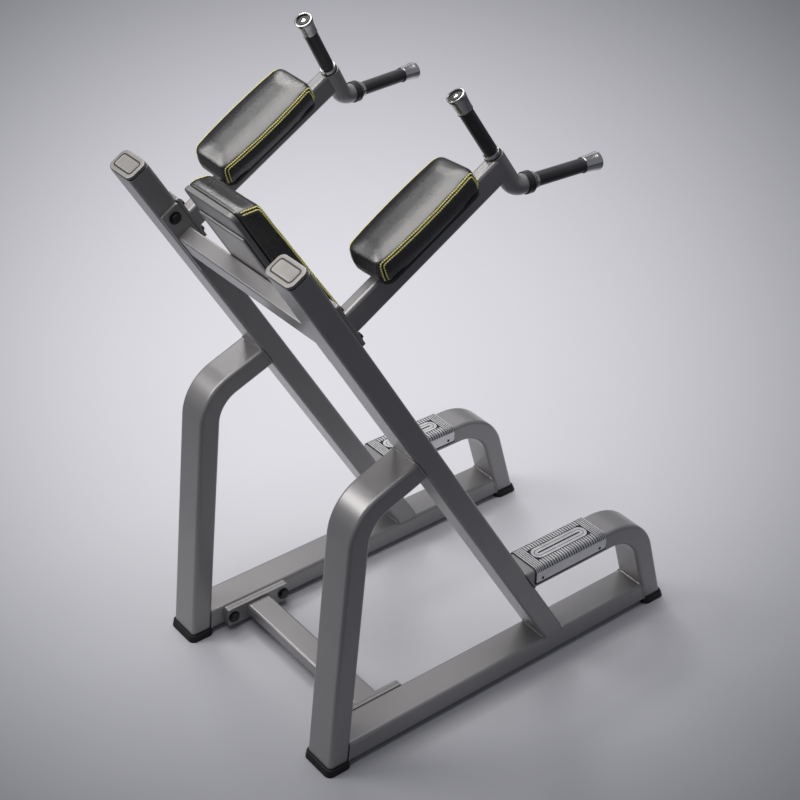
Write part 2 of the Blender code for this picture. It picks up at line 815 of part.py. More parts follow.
def cushion_mesh(name, width, length, sides, crown, corner, bow, rake, surface):
    """Upholstered cushion with drawn-in sides, a seam round the top and a crown.

    It lies in XY with its base on z = 0. The side height runs from the first of sides at -Y
    to the second at +Y, where the end leans in by the rake.
    """
    outline = pad_outline(width, length, corner, bow)

    def lift(points, share, extra=0.0):
        lifted = []
        for point in points:
            along = point.y / length + 0.5
            side = sides[0] + (sides[1] - sides[0]) * along
            shift = Vector((0.0, -rake * share * along, side * share + extra))
            lifted.append(point + shift)
        return lifted

    rings = [lift(inset_outline(outline, width, length, UNDERSIDE_DRAW), 0.0)]
    rings.append(lift(inset_outline(outline, width, length, SIDE_DRAW), LOW_SHARE))
    rings.append(lift(outline, WIDEST_SHARE))
    rings.append(lift(inset_outline(outline, width, length, SIDE_DRAW / 3), 1.0, -SEAM_HALF))
    rings.append(lift(inset_outline(outline, width, length, SIDE_DRAW / 3 + SEAM_DEPTH), 1.0))
    rings.append(lift(inset_outline(outline, width, length, SIDE_DRAW), 1.0, SEAM_HALF))
    for share in CROWN_SHARES:
        rise = SEAM_HALF + (crown - SEAM_HALF) * (1.0 - share ** CROWN_POWER)
        rings.append(lift(toward_spine(outline, width, length, share), 1.0, rise))
    bm = bmesh.new()
    loft(bm, rings)
    return to_mesh(bm, name, surface)


def board_mesh(name, width, length, corner, bow, inset, thickness, surface):
    """Flat board that follows a cushion's outline, with its underside on z = 0."""
    outline = inset_outline(pad_outline(width, length, corner, bow), width, length, inset)
    bm = bmesh.new()
    loft(bm, [outline, [point + Vector((0.0, 0.0, thickness)) for point in outline]])
    return to_mesh(bm, name, surface, smooth=False)


def handle_tube_mesh(surface):
    """Round elbow: the upper leg on +Z from the elbow, the front leg toward -Y."""
    outer = round_outline(HANDLE_RADIUS, HANDLE_SIDES)
    inner = round_outline(HANDLE_RADIUS - HANDLE_WALL, HANDLE_SIDES)
    elbow = Vector((0.0, 0.0, 0.0))
    corners = [Vector((0.0, 0.0, UPPER_LEG)), elbow, HANDLE_FRONT * FRONT_LEG]
    bm = bmesh.new()
    sweep(bm, ring_faces(bm, outer, inner), corners, [HANDLE_BEND_RADIUS], HANDLE_BEND_STEPS)
    return to_mesh(bm, "handle_tube", surface)


def collar_mesh(surface):
    """Collar round the end of the front leg."""
    inner = HANDLE_RADIUS + GAP
    outer = inner + COLLAR_THICKNESS
    edge = COLLAR_THICKNESS / 3
    profile = [
        (inner, 0.0),
        (outer - edge, 0.0),
        (outer, edge),
        (outer, COLLAR_LENGTH - edge),
        (outer - edge, COLLAR_LENGTH),
        (inner, COLLAR_LENGTH),
    ]
    bm = bmesh.new()
    ring_lathe(bm, profile, HANDLE_SIDES)
    return to_mesh(bm, "handle_collar", surface)


def grip_ring_mesh(name, grip_length, surface):
    """Turned ring on the handle tube's end, with a plug in its bore and the grip's spindle."""
    plug = (HANDLE_RADIUS - HANDLE_WALL) * math.cos(math.pi / HANDLE_SIDES) - GAP
    edge = RING_LENGTH / 5
    end = RING_LENGTH + GAP + grip_length + GRIP_CAP_SOCKET
    profile = [
        (0.0, -RING_PLUG),
        (plug, -RING_PLUG),
        (plug, GAP),
        (RING_RADIUS, GAP),
        (RING_RADIUS, RING_LENGTH - edge),
        (RING_RADIUS - edge, RING_LENGTH),
        (SPINDLE_RADIUS, RING_LENGTH),
        (SPINDLE_RADIUS, end),
        (0.0, end),
    ]
    bm = bmesh.new()
    lathe(bm, profile, HANDLE_SIDES)
    return to_mesh(bm, name, surface)


def grip_mesh(name, length, surface):
    """Rubber sleeve with a bead at each end."""
    bore = SPINDLE_RADIUS + 2 * GAP
    bead = GRIP_RADIUS + GRIP_BEAD
    profile = [
        (bore, 0.0),
        (bead, 0.0),
        (bead, GRIP_BEAD),
        (GRIP_RADIUS, 2 * GRIP_BEAD),
        (GRIP_RADIUS, length - 2 * GRIP_BEAD),
        (bead, length - GRIP_BEAD),
        (bead, length),
        (bore, length),
    ]
    bm = bmesh.new()
    ring_lathe(bm, profile, GRIP_SIDES)
    return to_mesh(bm, name, surface)


def grip_cap_mesh(surface):
    """Flared end cap with a socket for the spindle and a round recess in its end."""
    bore = SPINDLE_RADIUS + 2 * GAP
    edge = GRIP_PLUG_DEPTH / 2
    profile = [
        (0.0, GRIP_CAP_SOCKET),
        (bore, GRIP_CAP_SOCKET),
        (bore, 0.0),
        (GRIP_CAP_NECK, 0.0),
        (GRIP_CAP_WAIST, GRIP_CAP_WAIST_AT),
        (GRIP_CAP_RADIUS, GRIP_CAP_FLARE_AT),
        (GRIP_CAP_RADIUS, GRIP_CAP_LENGTH - edge),
        (GRIP_CAP_RADIUS - edge, GRIP_CAP_LENGTH),
        (GRIP_PLUG_RADIUS, GRIP_CAP_LENGTH),
        (GRIP_PLUG_RADIUS, GRIP_CAP_LENGTH - GRIP_PLUG_DEPTH),
        (0.0, GRIP_CAP_LENGTH - GRIP_PLUG_DEPTH),
    ]
    bm = bmesh.new()
    lathe(bm, profile, GRIP_SIDES)
    return to_mesh(bm, "grip_cap", surface)


def build_side_frame(side_name, side, meshes):
    """Stand the four welded tubes of one side frame on its middle plane and return them."""
    across = (side * FRAME_OFFSET, 0.0, 0.0)
    return {part: place(mesh, f"{part}_{side_name}", across) for part, mesh in meshes.items()}


def build_foot(side_name, side, end, foot_at, inward, mesh):
    """Put a rubber foot on a leg and open it for the rail."""
    spot = Vector((side * FRAME_OFFSET, 0.0, 0.0)) + side_point(foot_at, 0.0)
    foot = place(mesh, f"{end}_foot_{side_name}", spot)
    notch_name = f"{end}_foot_notch_{side_name}"
    notch = place(foot_notch_mesh(notch_name, inward), notch_name, spot)
    cut_by(foot, notch)


def build_feet(surface):
    """Fit the four rubber feet."""
    rear = foot_mesh("rear_foot", REAR_SLOPE, surface)
    front = foot_mesh("front_foot", FRONT_SLOPE, surface)
    for side_name, side in SIDES.items():
        build_foot(side_name, side, "rear", REAR_FOOT_AT, 1.0, rear)
        build_foot(side_name, side, "front", FRONT_FOOT_AT, -1.0, front)


def build_treads(surface):
    """Fit a grooved tread over each step tube."""
    mesh = tread_mesh(surface)
    grooves = tread_grooves_mesh()
    for side_name, side in SIDES.items():
        spot = Vector((side * FRAME_OFFSET, 0.0, 0.0)) + side_point(TREAD_REAR_AT, STEP_HEIGHT)
        tread = place(mesh, f"tread_{side_name}", spot)
        cut_by(tread, place(grooves, f"tread_grooves_{side_name}", spot))


def build_lower_cross(rails, frame_surface, bolt_surface):
    """Bolt the lower cross tube between the base rails."""
    turn = (0.0, math.radians(90.0), 0.0)
    plate_face = INNER_FACE - GAP - LOWER_PLATE_THICKNESS
    flange_face = plate_face - GAP - LOWER_PLATE_THICKNESS
    length = 2 * (flange_face - GAP)
    tube = straight_tube_mesh(
        "lower_cross_tube", length, CROSS_HEIGHT, CROSS_DEPTH, CROSS_CORNER, CROSS_WALL,
        frame_surface,
    )
    place(tube, "lower_cross_tube", side_point(CROSS_AT, CROSS_TOP - CROSS_HEIGHT / 2), turn)
    plate = plate_mesh(
        "lower_plate", LOWER_PLATE_HEIGHT, LOWER_PLATE_LENGTH, LOWER_PLATE_THICKNESS,
        frame_surface,
    )
    height = RAIL_MID - GAP
    reach = 2 * (LOWER_PLATE_THICKNESS + GAP) + TUBE_WALL + SHANK_OVERRUN
    bolt = bolt_mesh("lower_bolt", LOWER_BOLT_RADIUS, reach, bolt_surface)
    for side_name, side in SIDES.items():
        out = (0.0, math.radians(90.0) * side, 0.0)
        rail_spot = Vector((side * plate_face, 0.0, 0.0)) + side_point(CROSS_AT, height)
        flange_spot = Vector((side * flange_face, 0.0, 0.0)) + side_point(CROSS_AT, height)
        rail_plate = place(plate, f"rail_plate_{side_name}", rail_spot, out)
        flange = place(plate, f"cross_flange_{side_name}", flange_spot, out)
        inward = Vector((-side, 0.0, 0.0))
        seats = []
        for label, along in (("rear", -1.0), ("front", 1.0)):
            point = flange_spot + side_point(along * LOWER_BOLT_SPACING / 2, 0.0)
            seats.append((f"{label}_{side_name}", point, inward))
        place_bolts(bolt, "lower_bolt", seats)
        for item in (rail_plate, flange, rails[side_name]):
            drill(item, LOWER_BOLT_RADIUS, reach + SHANK_OVERRUN, seats)


def build_upright_caps(mast, surface):
    """Plug the upper ends of the uprights."""
    mesh = upright_cap_mesh(surface)
    for side_name, side in SIDES.items():
        spot = (side * FRAME_OFFSET, 0.0, UPRIGHT_LENGTH + GAP)
        place(mesh, f"upright_cap_{side_name}", spot, parent=mast)


def build_beam(mast, uprights, frame_surface, bolt_surface):
    """Bolt the upper crossbeam between the uprights."""
    turn = (0.0, math.radians(90.0), 0.0)
    flange_face = INNER_FACE - GAP - BEAM_FLANGE_THICKNESS
    length = 2 * (flange_face - GAP)
    beam = straight_tube_mesh(
        "upper_crossbeam", length, BEAM_HEIGHT, BEAM_DEPTH, BEAM_CORNER, BEAM_WALL,
        frame_surface,
    )
    place(beam, "upper_crossbeam", (0.0, BEAM_SETBACK, BEAM_AT), turn, mast)
    flange = plate_mesh(
        "beam_flange", BEAM_FLANGE_LENGTH, BEAM_FLANGE_WIDTH, BEAM_FLANGE_THICKNESS,
        frame_surface,
    )
    reach = BEAM_FLANGE_THICKNESS + GAP + TUBE_WALL + SHANK_OVERRUN
    bolt = bolt_mesh("beam_bolt", BEAM_BOLT_RADIUS, reach, bolt_surface)
    for side_name, side in SIDES.items():
        spot = Vector((side * flange_face, 0.0, BEAM_FLANGE_AT))
        out = (0.0, math.radians(90.0) * side, 0.0)
        item = place(flange, f"beam_flange_{side_name}", spot, out, mast)
        seats = []
        for label, up in (("lower", -1.0), ("upper", 1.0)):
            point = spot + Vector((0.0, 0.0, up * BEAM_BOLT_SPACING / 2))
            seats.append((f"{label}_{side_name}", point, Vector((-side, 0.0, 0.0))))
        place_bolts(bolt, "beam_bolt", seats, mast)
        for drilled in (item, uprights[side_name]):
            drill(drilled, BEAM_BOLT_RADIUS, reach + SHANK_OVERRUN, seats, mast)


def build_back(mast, frame_surface, leather, board_surface):
    """Fix the support plate, the board and the back cushion to the front of the beam."""
    stand = (math.radians(90.0), 0.0, 0.0)
    plate_back = BEAM_DEPTH / 2 - BEAM_SETBACK + GAP
    board_back = plate_back + SUPPORT_THICKNESS + GAP
    pad_back = board_back + BACK_BOARD_THICKNESS + GAP
    support = plate_mesh(
        "back_support", SUPPORT_WIDTH, SUPPORT_LENGTH, SUPPORT_THICKNESS, frame_surface
    )
    support_mid = SUPPORT_BOTTOM + SUPPORT_LENGTH / 2
    place(support, "back_support_plate", (0.0, -plate_back, support_mid), stand, mast)
    board = board_mesh(
        "back_board", BACK_PAD_WIDTH, BACK_PAD_LENGTH, BACK_PAD_CORNER, BACK_PAD_BOW,
        BACK_BOARD_INSET, BACK_BOARD_THICKNESS, board_surface,
    )
    pad_mid = BACK_PAD_BOTTOM + BACK_PAD_LENGTH / 2
    place(board, "back_pad_board", (0.0, -board_back, pad_mid), stand, mast)
    cushion = cushion_mesh(
        "back_pad", BACK_PAD_WIDTH, BACK_PAD_LENGTH,
        (BACK_PAD_SIDE_BOTTOM, BACK_PAD_SIDE_TOP), BACK_PAD_CROWN, BACK_PAD_CORNER,
        BACK_PAD_BOW, BACK_PAD_RAKE, leather,
    )
    place(cushion, "back_pad", (0.0, -pad_back, pad_mid), stand, mast)


def place_arms(mast):
    """Return each side's arm frame: its -Y runs out along the arm and its Z leans inward."""
    arms = {}
    for side_name, side in SIDES.items():
        spot = (side * ARM_OFFSET, 0.0, ARM_AT)
        roll = (0.0, -side * math.radians(ARM_ROLL), 0.0)
        arms[side_name] = place_empty(f"arm_{side_name}", spot, roll, mast)
    return arms


def build_arm_flanges(mast, frame_surface):
    """Bolt an arm flange to the front of each upright."""
    plate = plate_mesh(
        "arm_flange", ARM_FLANGE_WIDTH, ARM_FLANGE_HEIGHT, ARM_FLANGE_THICKNESS, frame_surface
    )
    heads = arm_bolt_heads_mesh()
    stand = (math.radians(90.0), 0.0, 0.0)
    for side_name, side in SIDES.items():
        across = side * ARM_FLANGE_OFFSET
        back = (across, -UPRIGHT_FRONT - GAP, ARM_AT + ARM_FLANGE_RISE)
        flange = place(plate, f"arm_flange_{side_name}", back, stand, mast)
        bolts = place(heads, f"arm_flange_bolts_{side_name}", back, stand, mast)
        combine(flange, bolts, "UNION")


def build_arm_tubes(arms, frame_surface):
    """Run each arm's tube from its flange to the handle, and cope its end round the handle."""
    start = UPRIGHT_FRONT + 2 * GAP + ARM_FLANGE_THICKNESS
    end = HANDLE_REACH - ARM_END_LAP
    bm = bmesh.new()
    section = tube_section(bm, ARM_WIDTH, ARM_HEIGHT, ARM_CORNER, ARM_WALL)
    sweep(bm, section, [side_point(start, 0.0), side_point(end, 0.0)], [], 0)
    mesh = to_mesh(bm, "arm_tube", frame_surface)
    cutter = arm_cope_mesh()
    for side_name, arm in arms.items():
        tube = place(mesh, f"arm_tube_{side_name}", parent=arm)
        spot, turn = handle_place(SIDES[side_name])
        cut_by(tube, place(cutter, f"arm_cope_{side_name}", spot, turn, arm))


def build_arm_pads(arms, leather, board_surface):
    """Lay a board and a cushion on each arm."""
    board = board_mesh(
        "arm_board", ARM_PAD_WIDTH, ARM_PAD_LENGTH, ARM_PAD_CORNER, ARM_PAD_BOW,
        ARM_BOARD_INSET, ARM_BOARD_THICKNESS, board_surface,
    )
    cushion = cushion_mesh(
        "arm_pad", ARM_PAD_WIDTH, ARM_PAD_LENGTH, (ARM_PAD_SIDE, ARM_PAD_SIDE),
        ARM_PAD_CROWN, ARM_PAD_CORNER, ARM_PAD_BOW, ARM_PAD_RAKE, leather,
    )
    pad_mid = ARM_PAD_REAR + ARM_PAD_LENGTH / 2
    for side_name, arm in arms.items():
        inward = -SIDES[side_name] * ARM_PAD_INWARD
        base = Vector((inward, -pad_mid, ARM_HEIGHT / 2 + GAP))
        place(board, f"arm_pad_board_{side_name}", base, parent=arm)
        top = base + Vector((0.0, 0.0, ARM_BOARD_THICKNESS + GAP))
        place(cushion, f"arm_pad_{side_name}", top, parent=arm)


def arm_bolt_heads_mesh():
    """Bolt heads of an arm flange, sunk a little into its front face to become one with it."""
    bm = bmesh.new()
    rows = (
        (ARM_BOLT_UPPER_SPREAD, ARM_BOLT_UPPER),
        (ARM_BOLT_LOWER_SPREAD, -ARM_BOLT_LOWER),
    )
    for spread, rise in rows:
        for across in (-spread / 2, spread / 2):
            head = bmesh.new()
            lathe(head, bolt_profile(ARM_BOLT_RADIUS, ARM_FLANGE_THICKNESS / 2), HEAD_SIDES)
            shift = Vector((across, rise, ARM_FLANGE_THICKNESS))
            bmesh.ops.translate(head, verts=head.verts[:], vec=shift)
            piece = helper_mesh(head, "arm_bolt_head")
            bm.from_mesh(piece)
            bpy.data.meshes.remove(piece)
    return helper_mesh(bm, "arm_bolt_heads")


def handle_place(side):
    """Return a handle's elbow point and turn, in its arm's frame."""
    return (0.0, -HANDLE_REACH, -HANDLE_DROP), (0.0, -side * math.radians(HANDLE_ROLL), 0.0)


def arm_cope_mesh():
    """Cutter that copes an arm's end round the handle tube."""
    bm = bmesh.new()
    radius = HANDLE_RADIUS + GAP
    reach = 2 * ARM_HEIGHT
    lathe(bm, [(0.0, -reach), (radius, -reach), (radius, reach), (0.0, reach)], HANDLE_SIDES)
    return helper_mesh(bm, "arm_cope")


def build_handles(arms, frame_surface, bright, rubber, plastic):
    """Fit a handle to the end of each arm, with its rings, grips and end caps."""
    tube = handle_tube_mesh(frame_surface)
    collar = collar_mesh(plastic)
    cap = grip_cap_mesh(bright)
    ends = (
        ("upper", Vector((0.0, 0.0, 1.0)), UPPER_LEG, UPPER_GRIP_LENGTH, 0.0),
        ("front", HANDLE_FRONT, FRONT_LEG, FRONT_GRIP_LENGTH, HANDLE_ANGLE),
    )
    handles = {}
    for side_name, arm in arms.items():
        spot, turn = handle_place(SIDES[side_name])
        handle = place(tube, f"handle_tube_{side_name}", spot, turn, arm)
        collar_spot = HANDLE_FRONT * COLLAR_AT
        tilt = (HANDLE_ANGLE, 0.0, 0.0)
        place(collar, f"handle_collar_{side_name}", collar_spot, tilt, handle)
        handles[side_name] = handle
    for end, heading, leg, length, tilt in ends:
        ring = grip_ring_mesh(f"grip_ring_{end}", length, bright)
        grip = grip_mesh(f"grip_{end}", length, rubber)
        grip_at = leg + RING_LENGTH + GAP
        cap_at = grip_at + length + GAP
        for side_name, handle in handles.items():
            label = f"{end}_{side_name}"
            for mesh, part, spot in ((ring, "ring_", leg), (grip, "", grip_at), (cap, "cap_", cap_at)):
                place(mesh, f"grip_{part}{label}", heading * spot, (tilt, 0.0, 0.0), handle)


def centre_station(station):
    """Move the station so that the middle of its footprint is the origin."""
    bpy.context.view_layer.update()
    graph = bpy.context.evaluated_depsgraph_get()
    lows = Vector((math.inf, math.inf, math.inf))
    highs = -lows
    for item in bpy.context.scene.objects:
        if item.type != "MESH" or item.hide_render:
            continue
        shape = item.evaluated_get(graph)
        for vert in shape.data.vertices:
            spot = shape.matrix_world @ vert.co
            lows = Vector(map(min, lows, spot))
            highs = Vector(map(max, highs, spot))
    station.location = (-(lows.x + highs.x) / 2, -(lows.y + highs.y) / 2, -lows.z)
    bpy.context.view_layer.update()


def adopt(station):
    """Hang every piece that has no parent yet on the station's empty."""
    for item in bpy.context.scene.objects:
        if item.parent is None and item is not station:
            item.parent = station


def build_station():
    """Build the whole station."""
    clear_scene()
    paint = frame_paint()
    leather = black_leather()
    boards = black_board()
    bolts = black_steel()
    meshes = {
        "base_rail": base_rail_mesh(paint),
        "rear_leg": rear_leg_mesh(paint),
        "upright": upright_mesh(paint),
        "step_tube": step_tube_mesh(paint),
    }
    frames = {}
    for side_name, side in SIDES.items():
        frames[side_name] = build_side_frame(side_name, side, meshes)
    rails = {side_name: frame["base_rail"] for side_name, frame in frames.items()}
    uprights = {side_name: frame["upright"] for side_name, frame in frames.items()}
    build_feet(foot_rubber())
    build_treads(bare_aluminium())
    build_lower_cross(rails, paint, bolts)
    mast = place_empty("mast", upright_foot(), (-math.radians(UPRIGHT_LEAN), 0.0, 0.0))
    build_upright_caps(mast, silver_cap())
    build_beam(mast, uprights, paint, bolts)
    build_back(mast, paint, leather, boards)
    build_arm_flanges(mast, paint)
    arms = place_arms(mast)
    build_arm_tubes(arms, paint)
    build_arm_pads(arms, leather, boards)
    build_handles(arms, paint, bright_metal(), grip_rubber(), black_plastic())
    station = place_empty("station")
    adopt(station)
    centre_station(station)


build_station()
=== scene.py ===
"""Vertical knee raise station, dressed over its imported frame.

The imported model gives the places. Each sub-assembly is a class that builds its pieces with
bmesh in its own frame, lays them in the station's frame and gives them their finish. Lengths
are metres, +Z is up, and the user faces -Y with the left hand on +X.
"""

import logging
import math
from dataclasses import dataclass, field
from enum import Enum

import bmesh
import bpy
import numpy as np
from mathutils import Euler, Matrix, Vector
from mathutils.bvhtree import BVHTree
from mathutils.kdtree import KDTree


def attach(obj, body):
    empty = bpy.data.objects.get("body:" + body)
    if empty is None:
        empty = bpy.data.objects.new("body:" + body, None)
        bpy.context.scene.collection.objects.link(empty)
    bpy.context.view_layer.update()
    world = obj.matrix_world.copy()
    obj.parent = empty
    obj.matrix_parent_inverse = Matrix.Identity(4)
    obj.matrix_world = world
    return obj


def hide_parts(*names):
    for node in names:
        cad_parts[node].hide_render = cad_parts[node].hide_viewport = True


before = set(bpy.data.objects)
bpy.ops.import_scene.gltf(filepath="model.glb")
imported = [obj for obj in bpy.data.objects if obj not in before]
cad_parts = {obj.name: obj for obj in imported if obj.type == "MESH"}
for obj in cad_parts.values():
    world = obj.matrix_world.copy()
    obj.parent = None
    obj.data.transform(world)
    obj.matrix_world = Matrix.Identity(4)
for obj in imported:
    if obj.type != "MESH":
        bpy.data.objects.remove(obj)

LOG = logging.getLogger("knee_raise_station")
GAP = 0.0003  # clearance between pieces that touch
MIDDLE = 0.52654  # from the rear feet forward to the station's origin
SMOOTH = math.radians(38.0)  # edges that turn more than this stay sharp
CORNER_STEPS = 8  # segments in a round corner
UP = Vector((0.0, 0.0, 1.0))
STAND = Matrix.Rotation(math.radians(90.0), 4, "X")  # makes a plate's Z look along -Y
MIRROR = Matrix.Diagonal((-1.0, 1.0, 1.0, 1.0))
FILM = 36.0  # width of the camera's sensor, in millimetres

Triple = tuple[float, float, float]
Profile = list[tuple[float, float]]


class Side(Enum):
    """One of the station's two sides, with the sign of its X."""

    LEFT = 1.0
    RIGHT = -1.0

    @property
    def label(self) -> str:
        """Return the side's name as the CAD nodes spell it."""
        return self.name.lower()


class Grip(Enum):
    """Where a grip sits on its handle."""

    UPPER = "upper"
    FRONT = "front"


def spot(across: float, forward: float, height: float) -> Vector:
    """Return a station point from its distances left, forward of the rear feet, and up."""
    return Vector((across, MIDDLE - forward, height))


def heading(forward: float, height: float) -> Vector:
    """Return the unit direction that runs this much forward and this much up."""
    return Vector((0.0, -forward, height)).normalized()


def shift(x: float, y: float, z: float) -> Matrix:
    """Return a move as a matrix."""
    return Matrix.Translation((x, y, z))


def show(name: str, data: bpy.types.ID) -> bpy.types.Object:
    """Put data in the scene as a new object.

    Args:
        name: The object's name.
        data: Its mesh, lamp or camera.

    Returns:
        The object.
    """
    item = bpy.data.objects.new(name, data)
    bpy.context.scene.collection.objects.link(item)
    return item


def rgba(colour: Triple) -> tuple[float, float, float, float]:
    """Return a colour with full alpha."""
    return (*colour, 1.0)


class NodeDesk:
    """Adds nodes to one node tree and joins them."""

    def __init__(self, tree: bpy.types.NodeTree) -> None:
        """Work on this tree."""
        self.tree = tree

    def fill(self, node: bpy.types.Node, values: dict) -> None:
        """Fill a node's inputs.

        Args:
            node: The node.
            values: Values or sockets for its inputs, by name or by number.
        """
        for key, value in values.items():
            if isinstance(value, bpy.types.NodeSocket):
                self.tree.links.new(value, node.inputs[key])
            else:
                node.inputs[key].default_value = value

    def add(self, kind: str, inputs: dict | None = None, **settings: object) -> bpy.types.Node:
        """Add a node.

        Args:
            kind: The node's type name without its ShaderNode prefix.
            inputs: Values or sockets for its inputs, by name or by number.
            **settings: Attributes to set on the node.

        Returns:
            The new node.
        """
        node = self.tree.nodes.new(f"ShaderNode{kind}")
        for name, value in settings.items():
            setattr(node, name, value)
        self.fill(node, inputs or {})
        return node

    def noise(self, vector: bpy.types.NodeSocket, scale: object, detail: float,
              roughness: float = 0.5) -> bpy.types.NodeSocket:
        """Return noise round 0.5, read at a vector, with cells per metre and octaves."""
        values = {"Vector": vector, "Scale": scale, "Detail": detail, "Roughness": roughness}
        return self.add("TexNoise", values).outputs["Fac"]

    def remap(self, value: bpy.types.NodeSocket, old: tuple[float, float],
              new: tuple[float, float]) -> bpy.types.NodeSocket:
        """Stretch a value from one range to another and keep it inside.

        Args:
            value: The value to stretch.
            old: The range it has.
            new: The range it gets.

        Returns:
            The stretched value.
        """
        return self.add("MapRange", {
            "Value": value, "From Min": old[0], "From Max": old[1],
            "To Min": new[0], "To Max": new[1],
        }).outputs["Result"]

    def blend(self, share: object, first: object, second: object) -> bpy.types.NodeSocket:
        """Return two colours mixed, with this share of the second."""
        return self.add("Mix", {0: share, 6: first, 7: second}, data_type="RGBA").outputs[2]

    def math(self, operation: str, *values: object) -> bpy.types.NodeSocket:
        """Return a sum of one to three values or sockets."""
        return self.add("Math", dict(enumerate(values)), operation=operation).outputs[0]


class EffectLibrary:
    """Shader node groups that several finishes share, each built once."""

    def __init__(self) -> None:
        """Start with no groups."""
        self.made: dict[str, bpy.types.ShaderNodeTree] = {}

    def start(self, name: str, inputs: dict[str, float],
              *outputs: str) -> tuple[NodeDesk, bpy.types.NodeOutputs, bpy.types.Node]:
        """Begin a group that reads a vector.

        Args:
            name: The group's name.
            inputs: The values it takes besides, with their defaults.
            *outputs: The names of the values it gives.

        Returns:
            The desk, the sockets that the group is given and its output node.
        """
        tree = bpy.data.node_groups.new(name, "ShaderNodeTree")
        tree.interface.new_socket("Vector", in_out="INPUT", socket_type="NodeSocketVector")
        for label, value in inputs.items():
            socket = tree.interface.new_socket(label, in_out="INPUT",
                                               socket_type="NodeSocketFloat")
            socket.default_value = value
        for label in outputs:
            tree.interface.new_socket(label, in_out="OUTPUT", socket_type="NodeSocketFloat")
        self.made[name] = tree
        given = tree.nodes.new("NodeGroupInput").outputs
        return NodeDesk(tree), given, tree.nodes.new("NodeGroupOutput")

    def get(self, name: str) -> bpy.types.ShaderNodeTree:
        """Return a group, building it the first time.

        Args:
            name: The group's name.

        Returns:
            The group's tree.
        """
        if name not in self.made:
            getattr(self, f"build_{name}")()
        return self.made[name]

    def build_mottle(self) -> None:
        """Cloudy change of tone: a mask that drifts slowly, with finer specks in it."""
        desk, given, result = self.start("mottle", {"Scale": 6.0, "Speck": 60.0}, "Mask")
        slow = desk.noise(given["Vector"], given["Scale"], 3.0)
        fine = desk.noise(given["Vector"], given["Speck"], 2.0)
        total = desk.math("ADD", slow, desk.math("MULTIPLY_ADD", fine, 0.35, -0.175))
        desk.fill(result, {"Mask": desk.remap(total, (0.25, 0.75), (0.0, 1.0))})

    def build_edge_wear(self) -> None:
        """Mask that is bright on the edges, broken up by noise: edge wear together with a painted
        highlight.
        """
        desk, given, result = self.start("edge_wear", {"Radius": 0.0015, "Amount": 1.0}, "Mask")
        rounded = desk.add("Bevel", {"Radius": given["Radius"]}, samples=4).outputs["Normal"]
        plain = desk.add("NewGeometry").outputs["Normal"]
        turned = desk.add("VectorMath", {0: rounded, 1: plain}, operation="DOT_PRODUCT")
        edge = desk.remap(turned.outputs["Value"], (0.995, 0.86), (0.0, 1.0))
        chips = desk.remap(desk.noise(given["Vector"], 90.0, 3.0, 0.65), (0.36, 0.6), (0.0, 1.0))
        worn_and_lit = desk.math("MULTIPLY", desk.math("MULTIPLY", edge, chips), given["Amount"])
        desk.fill(result, {"Mask": worn_and_lit})

    def build_orange_peel(self) -> None:
        """Height of sprayed paint: a very fine ripple with a slower swell under it."""
        desk, given, result = self.start("orange_peel", {"Scale": 420.0}, "Height")
        ripple = desk.noise(given["Vector"], given["Scale"], 2.0)
        swell = desk.noise(given["Vector"], 70.0, 1.0)
        desk.fill(result, {"Height": desk.math("MULTIPLY_ADD", swell, 0.6, ripple)})

    def build_pebble(self) -> None:
        """Height and crease mask of grained leather."""
        desk, given, result = self.start("pebble", {"Scale": 520.0}, "Height", "Crease")
        sway = desk.add("TexNoise", {"Vector": given["Vector"], "Scale": 90.0}).outputs["Color"]
        turn = desk.add("VectorMath", {0: sway, 1: (0.5, 0.5, 0.5)}, operation="SUBTRACT")
        small = desk.add("VectorMath", {0: turn.outputs[0], "Scale": 0.0022}, operation="SCALE")
        moved = desk.add("VectorMath", {0: given["Vector"], 1: small.outputs[0]},
                         operation="ADD")
        cells = desk.add("TexVoronoi", {"Vector": moved.outputs[0], "Scale": given["Scale"]},
                         feature="DISTANCE_TO_EDGE")
        crease = desk.remap(cells.outputs["Distance"], (0.0, 0.16), (0.0, 1.0))
        fold = desk.noise(given["Vector"], 45.0, 3.0)
        height = desk.math("MULTIPLY_ADD", fold, 0.7, desk.math("POWER", crease, 0.6))
        desk.fill(result, {"Height": height, "Crease": crease})

    def build_drawn_lines(self) -> None:
        """Fine lines along one axis, as drawn or turned metal shows."""
        desk, given, result = self.start("drawn_lines", {"Across": 900.0, "Along": 12.0},
                                         "Height")
        parts = desk.add("SeparateXYZ", {0: given["Vector"]}).outputs
        stretched = desk.add("CombineXYZ", {
            axis: desk.math("MULTIPLY", parts[axis], given[way])
            for axis, way in enumerate(("Across", "Along", "Across"))
        })
        desk.fill(result, {"Height": desk.noise(stretched.outputs[0], 1.0, 3.0, 0.6)})


EFFECTS = EffectLibrary()


@dataclass(frozen=True)
class Finish:
    """A surface finish: what every material here has in common."""

    CLOUDS = (16.0, 170.0)  # cells per metre of its cloudy tone and of the specks in it
    SHADES = (0.75, 1.3)  # factors on the colour where the clouds are darkest and lightest
    DRIFT = (-0.04, 0.06)  # steps on the roughness there
    name: str
    colour: Triple
    roughness: float
    slot: str

    def tinted(self, factor: float = 1.0, lift: float = 0.0,
               limit: float = math.inf) -> tuple[float, float, float, float]:
        """Return the colour times a factor and a little lifted, up to a limit."""
        return rgba(tuple(min(limit, part * factor + lift) for part in self.colour))

    def dress(self, desk: "MaterialDesk") -> None:
        """Dress the finish's material."""
        raise NotImplementedError

    def make(self) -> bpy.types.Material:
        """Return the finish's material.

        Returns:
            The material.
        """
        desk = MaterialDesk(self)
        self.dress(desk)
        return desk.made


